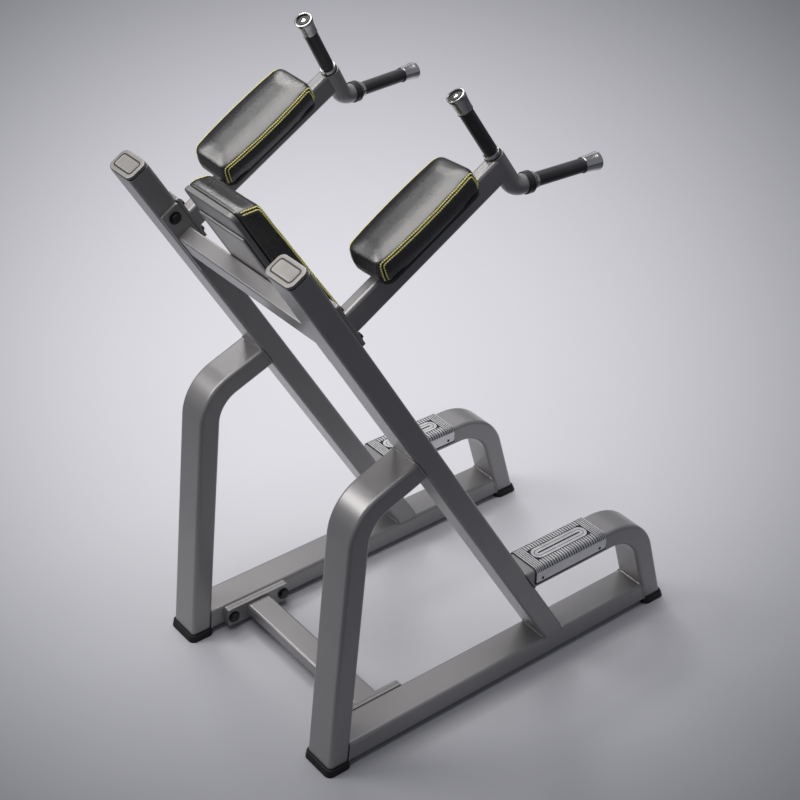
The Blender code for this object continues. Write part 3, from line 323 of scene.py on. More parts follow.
class MaterialDesk(NodeDesk):
    """The desk of one finish's material, with its shader and its object coordinates."""

    def __init__(self, finish: Finish) -> None:
        """Start the material of a finish.

        Args:
            finish: The finish.
        """
        self.finish = finish
        self.made = bpy.data.materials.new(finish.name)
        self.made.use_nodes = True
        self.made.diffuse_color = finish.tinted()
        super().__init__(self.made.node_tree)
        self.shader = self.tree.nodes["Principled BSDF"]
        self.set({"Base Color": finish.tinted(), "Roughness": finish.roughness})
        self.place = self.add("TexCoord").outputs["Object"]

    def set(self, values: dict[str, object]) -> None:
        """Set the shader's own inputs."""
        self.fill(self.shader, values)

    def effect(self, name: str, **values: float) -> bpy.types.NodeOutputs:
        """Place a shared effect with these inputs, and return what it gives."""
        inputs = {"Vector": self.place, **values}
        return self.add("Group", inputs, node_tree=EFFECTS.get(name)).outputs

    def bump(self, height: bpy.types.NodeSocket, distance: float, strength: float = 1.0) -> None:
        """Raise the surface by a height pattern, this many metres high."""
        node = self.add("Bump", {"Height": height, "Distance": distance, "Strength": strength})
        self.set({"Normal": node.outputs["Normal"]})

    def clouds(self) -> bpy.types.NodeSocket:
        """Return the mask of the finish's cloudy tone."""
        scale, speck = self.finish.CLOUDS
        return self.effect("mottle", Scale=scale, Speck=speck)["Mask"]

    def vary(self, mask: bpy.types.NodeSocket) -> bpy.types.NodeSocket:
        """Let tone and roughness drift with a mask.

        Args:
            mask: The drifting mask.

        Returns:
            The drifting colour.
        """
        colour = self.blend(mask, *(self.finish.tinted(shade) for shade in self.finish.SHADES))
        ends = tuple(self.finish.roughness + step for step in self.finish.DRIFT)
        self.set({"Base Color": colour, "Roughness": self.remap(mask, (0.0, 1.0), ends)})
        return colour

    def rub(self, tone: bpy.types.NodeSocket, bright: tuple[float, float, float, float],
            radius: float, amount: float) -> None:
        """Paint the edges bright: partly rubbed wear, partly painted highlight.

        Args:
            tone: The colour between the edges.
            bright: The colour of the edges.
            radius: How far the wear and painted highlight reach from an edge.
            amount: Share of the wear and painted highlight.
        """
        worn_and_lit = self.effect("edge_wear", Radius=radius, Amount=amount)["Mask"]
        self.set({"Base Color": self.blend(worn_and_lit, tone, bright)})

    def peel(self, scale: float, distance: float) -> None:
        """Raise a fine grain with this many cells per metre, this many metres high."""
        self.bump(self.effect("orange_peel", Scale=scale)["Height"], distance)


@dataclass(frozen=True)
class SprayedPaint(Finish):
    """Metallic satin paint whose edges are painted lighter: light rubbing and a painted
    highlight.
    """

    CLOUDS = (3.2, 900.0)
    SHADES = (0.93, 1.06)
    DRIFT = (-0.03, 0.03)
    metallic: float = 0.45
    wear: float = 0.25

    def dress(self, desk: MaterialDesk) -> None:
        """Dress the finish's material.

        Args:
            desk: The material's desk.
        """
        desk.set({"Metallic": self.metallic, "Coat Weight": 0.3, "Coat Roughness": 0.22})
        # Edges painted brighter: partly wear, partly painted highlight.
        desk.rub(desk.vary(desk.clouds()), self.tinted(1.9, 0.05, 1.0), 0.0016, self.wear)
        desk.peel(scale=520.0, distance=0.00008)


@dataclass(frozen=True)
class Rubber(Finish):
    """Matt moulded rubber with a fine grain and a little dust in it."""

    CLOUDS = (14.0, 300.0)
    SHADES = (0.8, 1.3)
    DRIFT = (-0.05, 0.08)
    CHALK = (0.25, 0.24, 0.23)
    dust: float = 0.2
    shine: float = 0.4

    def dress(self, desk: MaterialDesk) -> None:
        """Dress the finish's material.

        Args:
            desk: The material's desk.
        """
        desk.set({"Specular IOR Level": self.shine})
        mask = desk.clouds()
        tone = desk.vary(mask)
        dusty = desk.remap(mask, (0.55, 1.0), (0.0, 0.10 * self.dust))
        desk.set({"Base Color": desk.blend(dusty, tone, rgba(self.CHALK))})
        desk.peel(scale=900.0, distance=0.0002)


@dataclass(frozen=True)
class BareMetal(Finish):
    """Bare metal with fine drawn or turned lines, and edges painted brighter: wear and a painted
    highlight.
    """

    CLOUDS = (22.0, 260.0)
    SHADES = (0.86, 1.04)
    DRIFT = (-0.04, 0.07)
    across: float = 900.0
    along: float = 14.0
    metallic: float = 1.0

    def dress(self, desk: MaterialDesk) -> None:
        """Dress the finish's material.

        Args:
            desk: The material's desk.
        """
        desk.set({"Metallic": self.metallic})
        # Edges painted brighter: partly wear, partly painted highlight.
        desk.rub(desk.vary(desk.clouds()), self.tinted(1.25, 0.0, 0.97), 0.0008, 0.5)
        lines = desk.effect("drawn_lines", Across=self.across, Along=self.along)["Height"]
        desk.bump(lines, distance=0.00005)


@dataclass(frozen=True)
class Leather(Finish):
    """Grained upholstery leather with shade painted into its creases, glossy except where it is
    seen aslant.
    """

    gloss: tuple[float, float] = (0.84, 0.12)
    coat: tuple[float, float] = (0.56, 0.02)
    fading: tuple[float, float] = (0.33, 0.62)

    def dress(self, desk: MaterialDesk) -> None:
        """Dress the finish's material.

        Args:
            desk: The material's desk.
        """
        slant = desk.add("LayerWeight", {"Blend": 0.5}).outputs["Facing"]
        desk.set({
            "Coat Roughness": 0.30, "Sheen Weight": 0.05, "Sheen Roughness": 0.45,
            "Specular IOR Level": desk.remap(slant, self.fading, self.gloss),
            "Coat Weight": desk.remap(slant, self.fading, self.coat),
        })
        grain = desk.effect("pebble", Scale=420.0)
        tone = desk.vary(desk.clouds())
        # The grain's creases are painted darker: painted shade.
        desk.set({"Base Color": desk.blend(grain["Crease"], self.tinted(0.45), tone)})
        desk.bump(grain["Height"], distance=0.00011, strength=0.8)


@dataclass(frozen=True)
class Thread(Finish):
    """Twisted sewing thread."""

    SHADES = (0.72, 1.12)
    DRIFT = (-0.05, 0.05)
    twist: float = 1400.0

    def dress(self, desk: MaterialDesk) -> None:
        """Dress the finish's material.

        Args:
            desk: The material's desk.
        """
        desk.set({"Sheen Weight": 0.2})
        strands = desk.add("TexWave", {
            "Vector": desk.place, "Scale": self.twist, "Distortion": 2.0,
        }, bands_direction="DIAGONAL").outputs["Fac"]
        desk.vary(desk.remap(strands, (0.0, 1.0), (0.0, 1.0)))
        desk.bump(strands, distance=0.0002)


@dataclass(frozen=True)
class Moulding(Finish):
    """Moulded plastic, painted board or blackened steel: a soft gloss with fine texture."""

    CLOUDS = (20.0, 400.0)
    SHADES = (0.85, 1.2)
    DRIFT = (-0.05, 0.05)
    metallic: float = 0.0

    def dress(self, desk: MaterialDesk) -> None:
        """Dress the finish's material.

        Args:
            desk: The material's desk.
        """
        desk.set({"Metallic": self.metallic})
        desk.vary(desk.clouds())
        desk.peel(scale=700.0, distance=0.0001)


FRAME_PAINT = SprayedPaint("frame_paint", (0.265, 0.257, 0.259), 0.34, "frame_paint")
FOOT_RUBBER = Rubber("foot_rubber", (0.007, 0.007, 0.008), 0.5, "foot_rubber", 0.1, 0.25)
GRIP_RUBBER = Rubber("grip_rubber", (0.020, 0.020, 0.022), 0.36, "grip_rubber", 0.2, 0.6)
BARE_ALUMINIUM = BareMetal("bare_aluminium", (0.74, 0.74, 0.75), 0.34, "bare_aluminium")
# Aluminium darkened to paint the shade in the tread's grooves; the ridges keep the bare colour.
GROOVE_SHADED_ALUMINIUM = BareMetal("grooved_aluminium", (0.045, 0.045, 0.048), 0.5, "bare_aluminium")
BRIGHT_METAL = BareMetal("bright_metal", (0.66, 0.65, 0.64), 0.17, "bright_metal", 500.0, 500.0)
SILVER_CAP = BareMetal("silver_cap", (0.245, 0.236, 0.226), 0.46, "silver_cap", metallic=0.6)
BLACK_LEATHER = Leather("black_leather", (0.011, 0.010, 0.010), 0.27, "black_leather")
YELLOW_THREAD = Thread("yellow_thread", (0.98, 0.91, 0.26), 0.5, "black_leather")
BLACK_BOARD = Moulding("black_board", (0.02, 0.02, 0.02), 0.5, "black_board")
# Its strong edge brightening paints a highlight along the board's edges.
GREY_BOARD = SprayedPaint("grey_board", (0.17, 0.168, 0.168), 0.4, "black_board", wear=0.8)
BLACK_STEEL = Moulding("black_steel", (0.035, 0.035, 0.037), 0.36, "black_steel", metallic=0.7)
BLACK_PLASTIC = Moulding("black_plastic", (0.016, 0.016, 0.016), 0.38, "black_plastic")


class Wardrobe:
    """Makes each finish's material once and keeps it."""

    def __init__(self) -> None:
        """Start empty."""
        self.kept: dict[str, bpy.types.Material] = {}

    def get(self, finish: Finish) -> bpy.types.Material:
        """Return a finish's material.

        Args:
            finish: The finish.

        Returns:
            Its material.
        """
        if finish.name not in self.kept:
            self.kept[finish.name] = finish.make()
        return self.kept[finish.name]


WARDROBE = Wardrobe()


class Form:
    """A bmesh in the making, with the operations that the pieces here need."""

    def __init__(self) -> None:
        """Start empty."""
        self.bm = bmesh.new()

    def rounded_face(self, width: float, depth: float, corner: float) -> bmesh.types.BMFace:
        """Start with a flat rectangle that has round corners.

        Args:
            width: Its size along X.
            depth: Its size along Y.
            corner: Corner radius.

        Returns:
            The face, which looks along +Z.
        """
        size = Matrix.Diagonal((width, depth, 1.0, 1.0))
        made = bmesh.ops.create_grid(self.bm, x_segments=1, y_segments=1, size=0.5, matrix=size)
        self.soften(made["verts"], corner, CORNER_STEPS, "VERTICES")
        return self.bm.faces[:][-1]

    def soften(self, geom: list, radius: float, steps: int, affect: str = "EDGES") -> None:
        """Round edges or corners with a radius, in steps."""
        bmesh.ops.bevel(self.bm, geom=geom, offset=radius, offset_type="OFFSET", affect=affect,
                        segments=steps, profile=0.5, material=-1)

    def loft(self, levels: list[tuple[float, float, float, Vector]]) -> "Form":
        """Join rounded rectangles at several levels into one closed skin.

        Args:
            levels: Width, depth, corner radius and place of each rectangle.

        Returns:
            This form.
        """
        loops = []
        for width, depth, corner, place in levels:
            face = self.rounded_face(width, depth, corner)
            bmesh.ops.translate(self.bm, verts=face.verts[:], vec=place)
            loops.append(face)
        for lower, upper in zip(loops, loops[1:]):
            low, high = lower.verts[:], upper.verts[:]
            for index, vert in enumerate(low):
                self.bm.faces.new((low[index - 1], vert, high[index], high[index - 1]))
        bmesh.ops.delete(self.bm, geom=loops[1:-1], context="FACES_ONLY")
        return self.turn_out()

    def turn_out(self) -> "Form":
        """Turn every face outward."""
        bmesh.ops.recalc_face_normals(self.bm, faces=self.bm.faces[:])
        return self

    def lathe(self, profile: Profile, steps: int = 48) -> "Form":
        """Turn a profile of radii and heights round the Z axis.

        Args:
            profile: Points of radius and height.
            steps: Steps round the full turn.

        Returns:
            This form.
        """
        verts = [self.bm.verts.new((radius, 0.0, height)) for radius, height in profile]
        edges = [self.bm.edges.new(pair) for pair in zip(verts, verts[1:])]
        bmesh.ops.spin(
            self.bm, geom=verts + edges, cent=(0.0, 0.0, 0.0), axis=UP, angle=2 * math.pi,
            steps=steps, use_merge=True, use_duplicate=False,
        )
        bmesh.ops.remove_doubles(self.bm, verts=self.bm.verts[:], dist=1e-6)
        return self.turn_out()

    def grow(self, face: bmesh.types.BMFace, way: Vector) -> bmesh.types.BMFace:
        """Extrude a section face and leave the first one as the closed end.

        Args:
            face: The section.
            way: How far and which way.

        Returns:
            The moved face.
        """
        made = bmesh.ops.extrude_face_region(self.bm, geom=[face] + face.edges[:])["geom"]
        moved = next(item for item in made if isinstance(item, bmesh.types.BMFace))
        bmesh.ops.translate(self.bm, verts=moved.verts[:], vec=way)
        return moved

    def sweep(self, face: bmesh.types.BMFace, corners: list[Vector], radius: float = 0.0,
              steps: int = 28) -> "Form":
        """Sweep a section face along a centreline in the YZ plane.

        Args:
            face: The section, flat at the origin and looking along +Z.
            corners: The centreline's corners, from start to end.
            radius: Bend radius at the corners between the ends.
            steps: Steps in each bend.

        Returns:
            This form.
        """
        here = corners[0]
        way = (corners[1] - here).normalized()
        turn = UP.rotation_difference(way).to_matrix()
        bmesh.ops.rotate(self.bm, verts=face.verts[:], cent=(0.0, 0.0, 0.0), matrix=turn)
        bmesh.ops.translate(self.bm, verts=face.verts[:], vec=here)
        for corner, after in zip(corners[1:], corners[2:]):
            following = (after - corner).normalized()
            angle = math.copysign(way.angle(following), way.cross(following).x)
            tangent = radius * math.tan(abs(angle) / 2)
            run = (corner - here).length - tangent
            face = self.grow(face, way * run)
            here = here + way * run
            across = Vector((1.0, 0.0, 0.0)).cross(way) * math.copysign(1.0, angle)
            made = bmesh.ops.spin(
                self.bm, geom=[face] + face.edges[:], cent=here + across * radius,
                axis=(1.0, 0.0, 0.0), angle=angle, steps=steps, use_merge=False,
                use_duplicate=False,
            )["geom_last"]
            face = next(item for item in made if isinstance(item, bmesh.types.BMFace))
            here = corner + following * tangent
            way = following
        self.grow(face, way * (corners[-1] - here).length)
        return self

    def trim(self, point: Vector, normal: Vector) -> "Form":
        """Cut off all that lies on the normal's side of a plane and close the cut.

        Args:
            point: A point of the plane.
            normal: The plane's normal.

        Returns:
            This form.
        """
        geom = self.bm.verts[:] + self.bm.edges[:] + self.bm.faces[:]
        bmesh.ops.bisect_plane(
            self.bm, geom=geom, dist=1e-6, plane_co=point, plane_no=normal, clear_outer=True,
        )
        rim = [edge for edge in self.bm.edges if len(edge.link_faces) == 1]
        bmesh.ops.holes_fill(self.bm, edges=rim, sides=0)
        return self

    def outline_on(self, point: Vector, normal: Vector) -> list[Vector]:
        """Return the loop of points where the form lies on a plane, in order.

        Args:
            point: A point of the plane.
            normal: The plane's normal.

        Returns:
            The points, or none where the form has no end face there.
        """
        for face in self.bm.faces:
            if abs(face.normal.dot(normal)) < 0.999 or len(face.verts) < 12:
                continue
            if abs((face.verts[0].co - point).dot(normal)) < 1e-5:
                loop = [vert.co.copy() for vert in face.verts]
                first = loop.index(max(loop, key=tuple))
                return loop[first:] + loop[:first]
        return []

    def moved(self, matrix: Matrix) -> "Form":
        """Move the whole form by a matrix."""
        bmesh.ops.transform(self.bm, matrix=matrix, verts=self.bm.verts[:])
        return self

    def add(self, other: "Form", matrix: Matrix, flip: bool = False) -> "Form":
        """Copy another form into this one.

        Args:
            other: The form to copy.
            matrix: Where the copy goes.
            flip: Whether the matrix mirrors it.

        Returns:
            This form.
        """
        mesh = bpy.data.meshes.new("part")
        other.bm.to_mesh(mesh)
        mesh.transform(matrix)
        if flip:
            mesh.flip_normals()
        self.bm.from_mesh(mesh)
        bpy.data.meshes.remove(mesh)
        return self

    def piece(self, name: str, finish: Finish, matrix: Matrix, replaced: tuple[str, ...] = (),
              sharp: float = SMOOTH) -> bpy.types.Object:
        """Finish the form as a piece of the station.

        Args:
            name: The piece's name.
            finish: Its finish.
            matrix: Where it goes, with its place ending up in its mesh.
            replaced: CAD nodes that it stands for.
            sharp: Edges that turn more than this stay sharp.

        Returns:
            The new object.
        """
        mesh = bpy.data.meshes.new(name)
        self.bm.to_mesh(mesh)
        self.bm.free()
        mesh.transform(matrix)
        mesh.materials.append(WARDROBE.get(finish))
        mesh.shade_smooth()
        mesh.set_sharp_from_angle(angle=sharp)
        item = show(name, mesh)
        item.modifiers.new("weighted", "WEIGHTED_NORMAL").keep_sharp = True
        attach(item, "root")
        if replaced:
            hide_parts(*replaced)
        LOG.info("%s: %d faces", name, len(mesh.polygons))
        return item

    def stand_in(self, node: str, suffix: str, finish: Finish, matrix: Matrix) -> None:
        """Finish the form as the piece that stands for one CAD node."""
        self.piece(f"{node}_{suffix}", finish, matrix, (node,))


def band(size: Triple, breadth: float, low: float, high: float) -> Form:
    """Return a closed band along the edge of a rounded rectangle.

    Args:
        size: The rectangle's width, depth and corner radius.
        breadth: How far the band reaches in from the edge.
        low: Height of its underside.
        high: Height of its top.

    Returns:
        The band.
    """
    form = Form()
    bm = form.bm
    face = form.rounded_face(*size)
    bmesh.ops.inset_region(
        bm, faces=[face], thickness=breadth, use_even_offset=True, use_boundary=True,
    )
    bmesh.ops.delete(bm, geom=[face], context="FACES")
    made = bmesh.ops.extrude_face_region(bm, geom=bm.faces[:], use_keep_orig=True)["geom"]
    raised = [item for item in made if isinstance(item, bmesh.types.BMVert)]
    bmesh.ops.translate(bm, verts=raised, vec=(0.0, 0.0, high - low))
    return form.moved(shift(0.0, 0.0, low)).turn_out()


def plate(width: float, height: float, thickness: float, corner: float = 0.006,
          edge: float = 0.001) -> Form:
    """Return a plate with round corners and soft edges, with its back on z = 0.

    Args:
        width: Its size along X.
        height: Its size along Y.
        thickness: Its thickness.
        corner: Corner radius.
        edge: Edge rounding.

    Returns:
        The plate.
    """
    form = Form()
    form.grow(form.rounded_face(width, height, corner), UP * thickness)
    form.turn_out()
    rims = [item for item in form.bm.edges
            if abs(item.verts[0].co.z - item.verts[1].co.z) < 1e-6]
    form.soften(rims, edge, 2)
    return form


def bolt(radius: float) -> Form:
    """Return a six-sided bolt head with its washer, standing on z = 0.

    Args:
        radius: The head's radius.

    Returns:
        The bolt head.
    """
    washer, thick, edge, height = radius * 1.3, 0.002, 0.0004, radius * 0.55
    form = Form().lathe([
        (0.0, 0.0), (washer - edge, 0.0), (washer, edge), (washer, thick - edge),
        (washer - edge, thick), (0.0, thick),
    ], 40)
    head = Form()
    bmesh.ops.create_cone(
        head.bm, cap_ends=True, segments=6, radius1=radius, radius2=radius, depth=height,
        matrix=shift(0.0, 0.0, thick + height / 2),
    )
    head.soften(head.bm.edges[:], radius * 0.09, 3)
    return form.add(head.turn_out(), Matrix())


def facing(side: float) -> Matrix:
    """Return the turn that makes a plate's Z look outward on one side."""
    return Matrix.Rotation(math.radians(90.0) * side, 4, "Y")


def resample(outline: list[Vector], spacing: float, closed: bool = True) -> list[Vector]:
    """Space points evenly along a line.

    Args:
        outline: The line's points.
        spacing: The distance wanted between two points.
        closed: Whether the last point joins the first.

    Returns:
        The evenly spaced points.
    """
    track = outline + outline[:1] if closed else list(outline)
    lengths = [(after - here).length for here, after in zip(track, track[1:])]
    count = max(4, round(sum(lengths) / spacing))
    step = sum(lengths) / count
    points = []
    index, walked = 0, 0.0
    for number in range(count if closed else count + 1):
        want = number * step
        while index < len(lengths) - 1 and walked + lengths[index] < want:
            walked += lengths[index]
            index += 1
        share = (want - walked) / max(lengths[index], 1e-9)
        points.append(track[index].lerp(track[index + 1], min(1.0, share)))
    return points


def along_line(run: list[Vector], lengths: list[float], distance: float) -> Vector:
    """Return the point at a distance along a line, kept between the line's ends.

    Args:
        run: The line's points.
        lengths: How far each point lies along it.
        distance: The distance wanted.

    Returns:
        The point.
    """
    distance = max(0.0, min(lengths[-1], distance))
    index = next(i for i in range(1, len(lengths)) if lengths[i] >= distance)
    span = lengths[index] - lengths[index - 1]
    share = (distance - lengths[index - 1]) / max(span, 1e-9)
    return run[index - 1].lerp(run[index], share)


def weld_bead(name: str, outline: list[Vector], size: float, matrix: Matrix) -> None:
    """Lay a rippled weld bead round a joint.

    Args:
        name: The piece's name.
        outline: The joint's closed loop of points.
        size: The bead's radius.
        matrix: Where it goes.
    """
    if not outline:
        LOG.warning("%s has no outline", name)
        return
    spacing, ripple = 0.0026, (-0.08, 0.12)
    points = resample(outline, spacing)
    data = bpy.data.curves.new(name, "CURVE")
    data.dimensions = "3D"
    data.bevel_depth = size
    data.bevel_resolution = 2
    line = data.splines.new("POLY")
    line.points.add(len(points) - 1)
    for index, point in enumerate(points):
        line.points[index].co = (*point, 1.0)
        line.points[index].radius = 1.0 + ripple[index % 2]
    line.use_cyclic_u = True
    helper = bpy.data.objects.new(name, data)
    form = Form()
    form.bm.from_mesh(bpy.data.meshes.new_from_object(helper))
    bpy.data.objects.remove(helper)
    form.turn_out().piece(name, FRAME_PAINT, matrix)


@dataclass
class TubeSection:
    """A rounded rectangular tube's section."""

    width: float
    depth: float
    corner: float

    def run(self, corners: list[Vector], radius: float = 0.0) -> Form:
        """Return a tube of this section along a line in the YZ plane, bent by a radius.

        Args:
            corners: The line's corners, from start to end.
            radius: The bends' radius.

        Returns:
            The tube.
        """
        form = Form()
        return form.sweep(form.rounded_face(self.width, self.depth, self.corner), corners,
                          radius)

    def bar(self, half: float) -> Form:
        """Return a straight tube along Z, with this half length."""
        return self.run([UP * -half, UP * half]).turn_out()


@dataclass
class SideFrame:
    """One welded side frame: base rail, rear leg with its brace, upright and step tube."""

    side: Side
    section: TubeSection = field(default_factory=lambda: TubeSection(0.094, 0.058, 0.010))
    offset: float = 0.3075
    rail_low: float = 0.0135
    rear_foot: float = 0.0225
    upright_at: float = 0.7182
    front_foot: float = 1.0853
    rear_lean: float = 6.3
    corner_height: float = 0.7163
    brace_rise: float = 20.8
    rear_radius: float = 0.112
    upright_lean: float = 30.28
    upright_length: float = 1.5034
    step_height: float = 0.318
    front_lean: float = 15.6
    step_radius: float = 0.130
    floor: float = 0.006
    bead: float = 0.0026

    @property
    def across(self) -> float:
        """Return the side plane's X."""
        return self.side.value * self.offset

    def foot_point(self) -> Vector:
        """Return the point where the upright's centreline meets the rail."""
        return spot(0.0, self.upright_at, self.rail_low + self.section.depth)

    def rise(self) -> Vector:
        """Return the direction in which the upright rises."""
        lean = math.radians(self.upright_lean)
        return heading(-math.sin(lean), math.cos(lean))

    def out(self) -> Vector:
        """Return the direction square to the upright's front face."""
        lean = math.radians(self.upright_lean)
        return heading(math.cos(lean), math.sin(lean))

    def leg_point(self, foot: float, lean: float, height: float) -> Vector:
        """Return a leg's centreline point at a height, from where it stands and its lean."""
        return spot(0.0, foot + math.tan(math.radians(lean)) * height, height)

    def finish_tube(self, form: Form, tube: str, weld: str, point: Vector,
                    normal: Vector) -> None:
        """Make a tube a piece, with a weld bead round the end that was cut on a plane.

        Args:
            form: The cut tube.
            tube: Its node's name without the side.
            weld: The bead's name without the side.
            point: A point of the plane.
            normal: The plane's normal.
        """
        outline = form.turn_out().outline_on(point, normal)
        place = shift(self.across, 0.0, 0.0)
        form.stand_in(f"{tube}_{self.side.label}", "tube", FRAME_PAINT, place)
        weld_bead(f"{weld}_{self.side.label}", outline, self.bead, place)

    def build_rear_leg(self) -> None:
        """Build the rear leg and its brace, with the weld on the upright."""
        foot = self.leg_point(self.rear_foot, self.rear_lean, 0.0)
        corner = self.leg_point(self.rear_foot, self.rear_lean, self.corner_height)
        angle = math.radians(self.brace_rise)
        brace = heading(math.cos(angle), math.sin(angle))
        face = self.foot_point() - self.out() * (self.section.depth / 2 + GAP)
        reach = (face - corner).dot(self.out()) / brace.dot(self.out())
        start = foot + (foot - corner).normalized() * self.section.depth
        end = corner + brace * (reach + self.section.depth)
        form = self.section.run([start, corner, end], self.rear_radius)
        form.trim(spot(0.0, 0.0, self.floor + GAP), -UP).trim(face, self.out())
        self.finish_tube(form, "rear_leg", "brace_weld", face, self.out())

    def build_rail(self) -> None:
        """Build the base rail between the feet of the two legs, with a weld at each end."""
        middle = self.rail_low + self.section.depth / 2
        form = self.section.run([spot(0.0, self.rear_foot, middle),
                                 spot(0.0, self.front_foot, middle)])
        place = shift(self.across, 0.0, 0.0)
        for end, foot, lean, sign in (("rear", self.rear_foot, self.rear_lean, 1.0),
                                      ("front", self.front_foot, -self.front_lean, -1.0)):
            tilt = math.radians(lean)
            normal = heading(math.cos(tilt), -math.sin(tilt)) * sign
            point = spot(0.0, foot, 0.0) + normal * (self.section.depth / 2 + GAP)
            outline = form.trim(point, -normal).turn_out().outline_on(point, normal)
            weld_bead(f"rail_weld_{end}_{self.side.label}", outline, self.bead, place)
        form.stand_in(f"base_rail_{self.side.label}", "tube", FRAME_PAINT, place)

    def build_upright(self) -> None:
        """Build the upright and its weld on the rail."""
        foot, seat = self.foot_point(), self.foot_point() + UP * GAP
        form = self.section.run([foot - self.rise() * self.section.depth,
                                 foot + self.rise() * self.upright_length])
        self.finish_tube(form.trim(seat, -UP), "upright", "upright_weld", seat, UP)

    def build_step_tube(self) -> None:
        """Build the step tube with the front leg, and its weld on the upright."""
        middle = self.step_height - self.section.depth / 2
        face = self.foot_point() + self.out() * (self.section.depth / 2 + GAP)
        form = self.section.run([
            spot(0.0, self.upright_at - 4 * self.section.depth, middle),
            self.leg_point(self.front_foot, -self.front_lean, middle),
            self.leg_point(self.front_foot, -self.front_lean, -self.section.depth),
        ], self.step_radius)
        form.trim(face, -self.out()).trim(spot(0.0, 0.0, self.floor + GAP), -UP)
        self.finish_tube(form, "step_tube", "step_weld", face, self.out())

    def build(self) -> None:
        """Build the whole side frame."""
        self.build_rear_leg()
        self.build_rail()
        self.build_upright()
        self.build_step_tube()


@dataclass
class Boots:
    """The four rubber boots under the legs."""

    height: float = 0.0234
    wall: float = 0.0055
    flare: float = 0.0015
    lip: float = 0.002

    def levels(self) -> Profile:
        """Return each ring's height and how far it stands off the tube.

        Returns:
            The rings, from the floor up.
        """
        wall, flare, height, lip = self.wall, self.flare, self.height, self.lip
        return [
            (0.0, wall + flare - 0.001), (0.0012, wall + flare), (0.0060, wall + flare),
            (0.0085, wall + flare * 0.4), (height - 2.2 * lip, wall * 0.95),
            (height - 1.8 * lip, wall * 0.80), (height - 1.6 * lip, wall * 0.45),
            (height - 0.4 * lip, wall * 0.42), (height, wall * 0.30),
            (height - 0.0012, 0.0006), (height - 0.006, 0.0002),
        ]

    def build_boot(self, one: SideFrame, end: str, at: float, lean: float) -> None:
        """Build one boot.

        Args:
            one: The side frame that it is on.
            end: Which end of the frame, rear or front.
            at: Where the leg's centreline meets the floor.
            lean: The leg's lean.
        """
        tilt, section = math.radians(lean), one.section
        rings = [
            (section.width + 2 * out, section.depth * (1.0 / math.cos(tilt)) + 2 * out,
             section.corner + out, Vector((0.0, -math.tan(tilt) * level, level)))
            for level, out in self.levels()
        ]
        place = Matrix.Translation(spot(one.across, at, 0.0))
        Form().loft(rings).stand_in(f"{end}_foot_{one.side.label}", "boot", FOOT_RUBBER, place)

    def build(self, frames: list[SideFrame]) -> None:
        """Build a boot under each leg of the side frames.

        Args:
            frames: The side frames.
        """
        for one in frames:
            self.build_boot(one, "rear", one.rear_foot, one.rear_lean)
            self.build_boot(one, "front", one.front_foot, -one.front_lean)


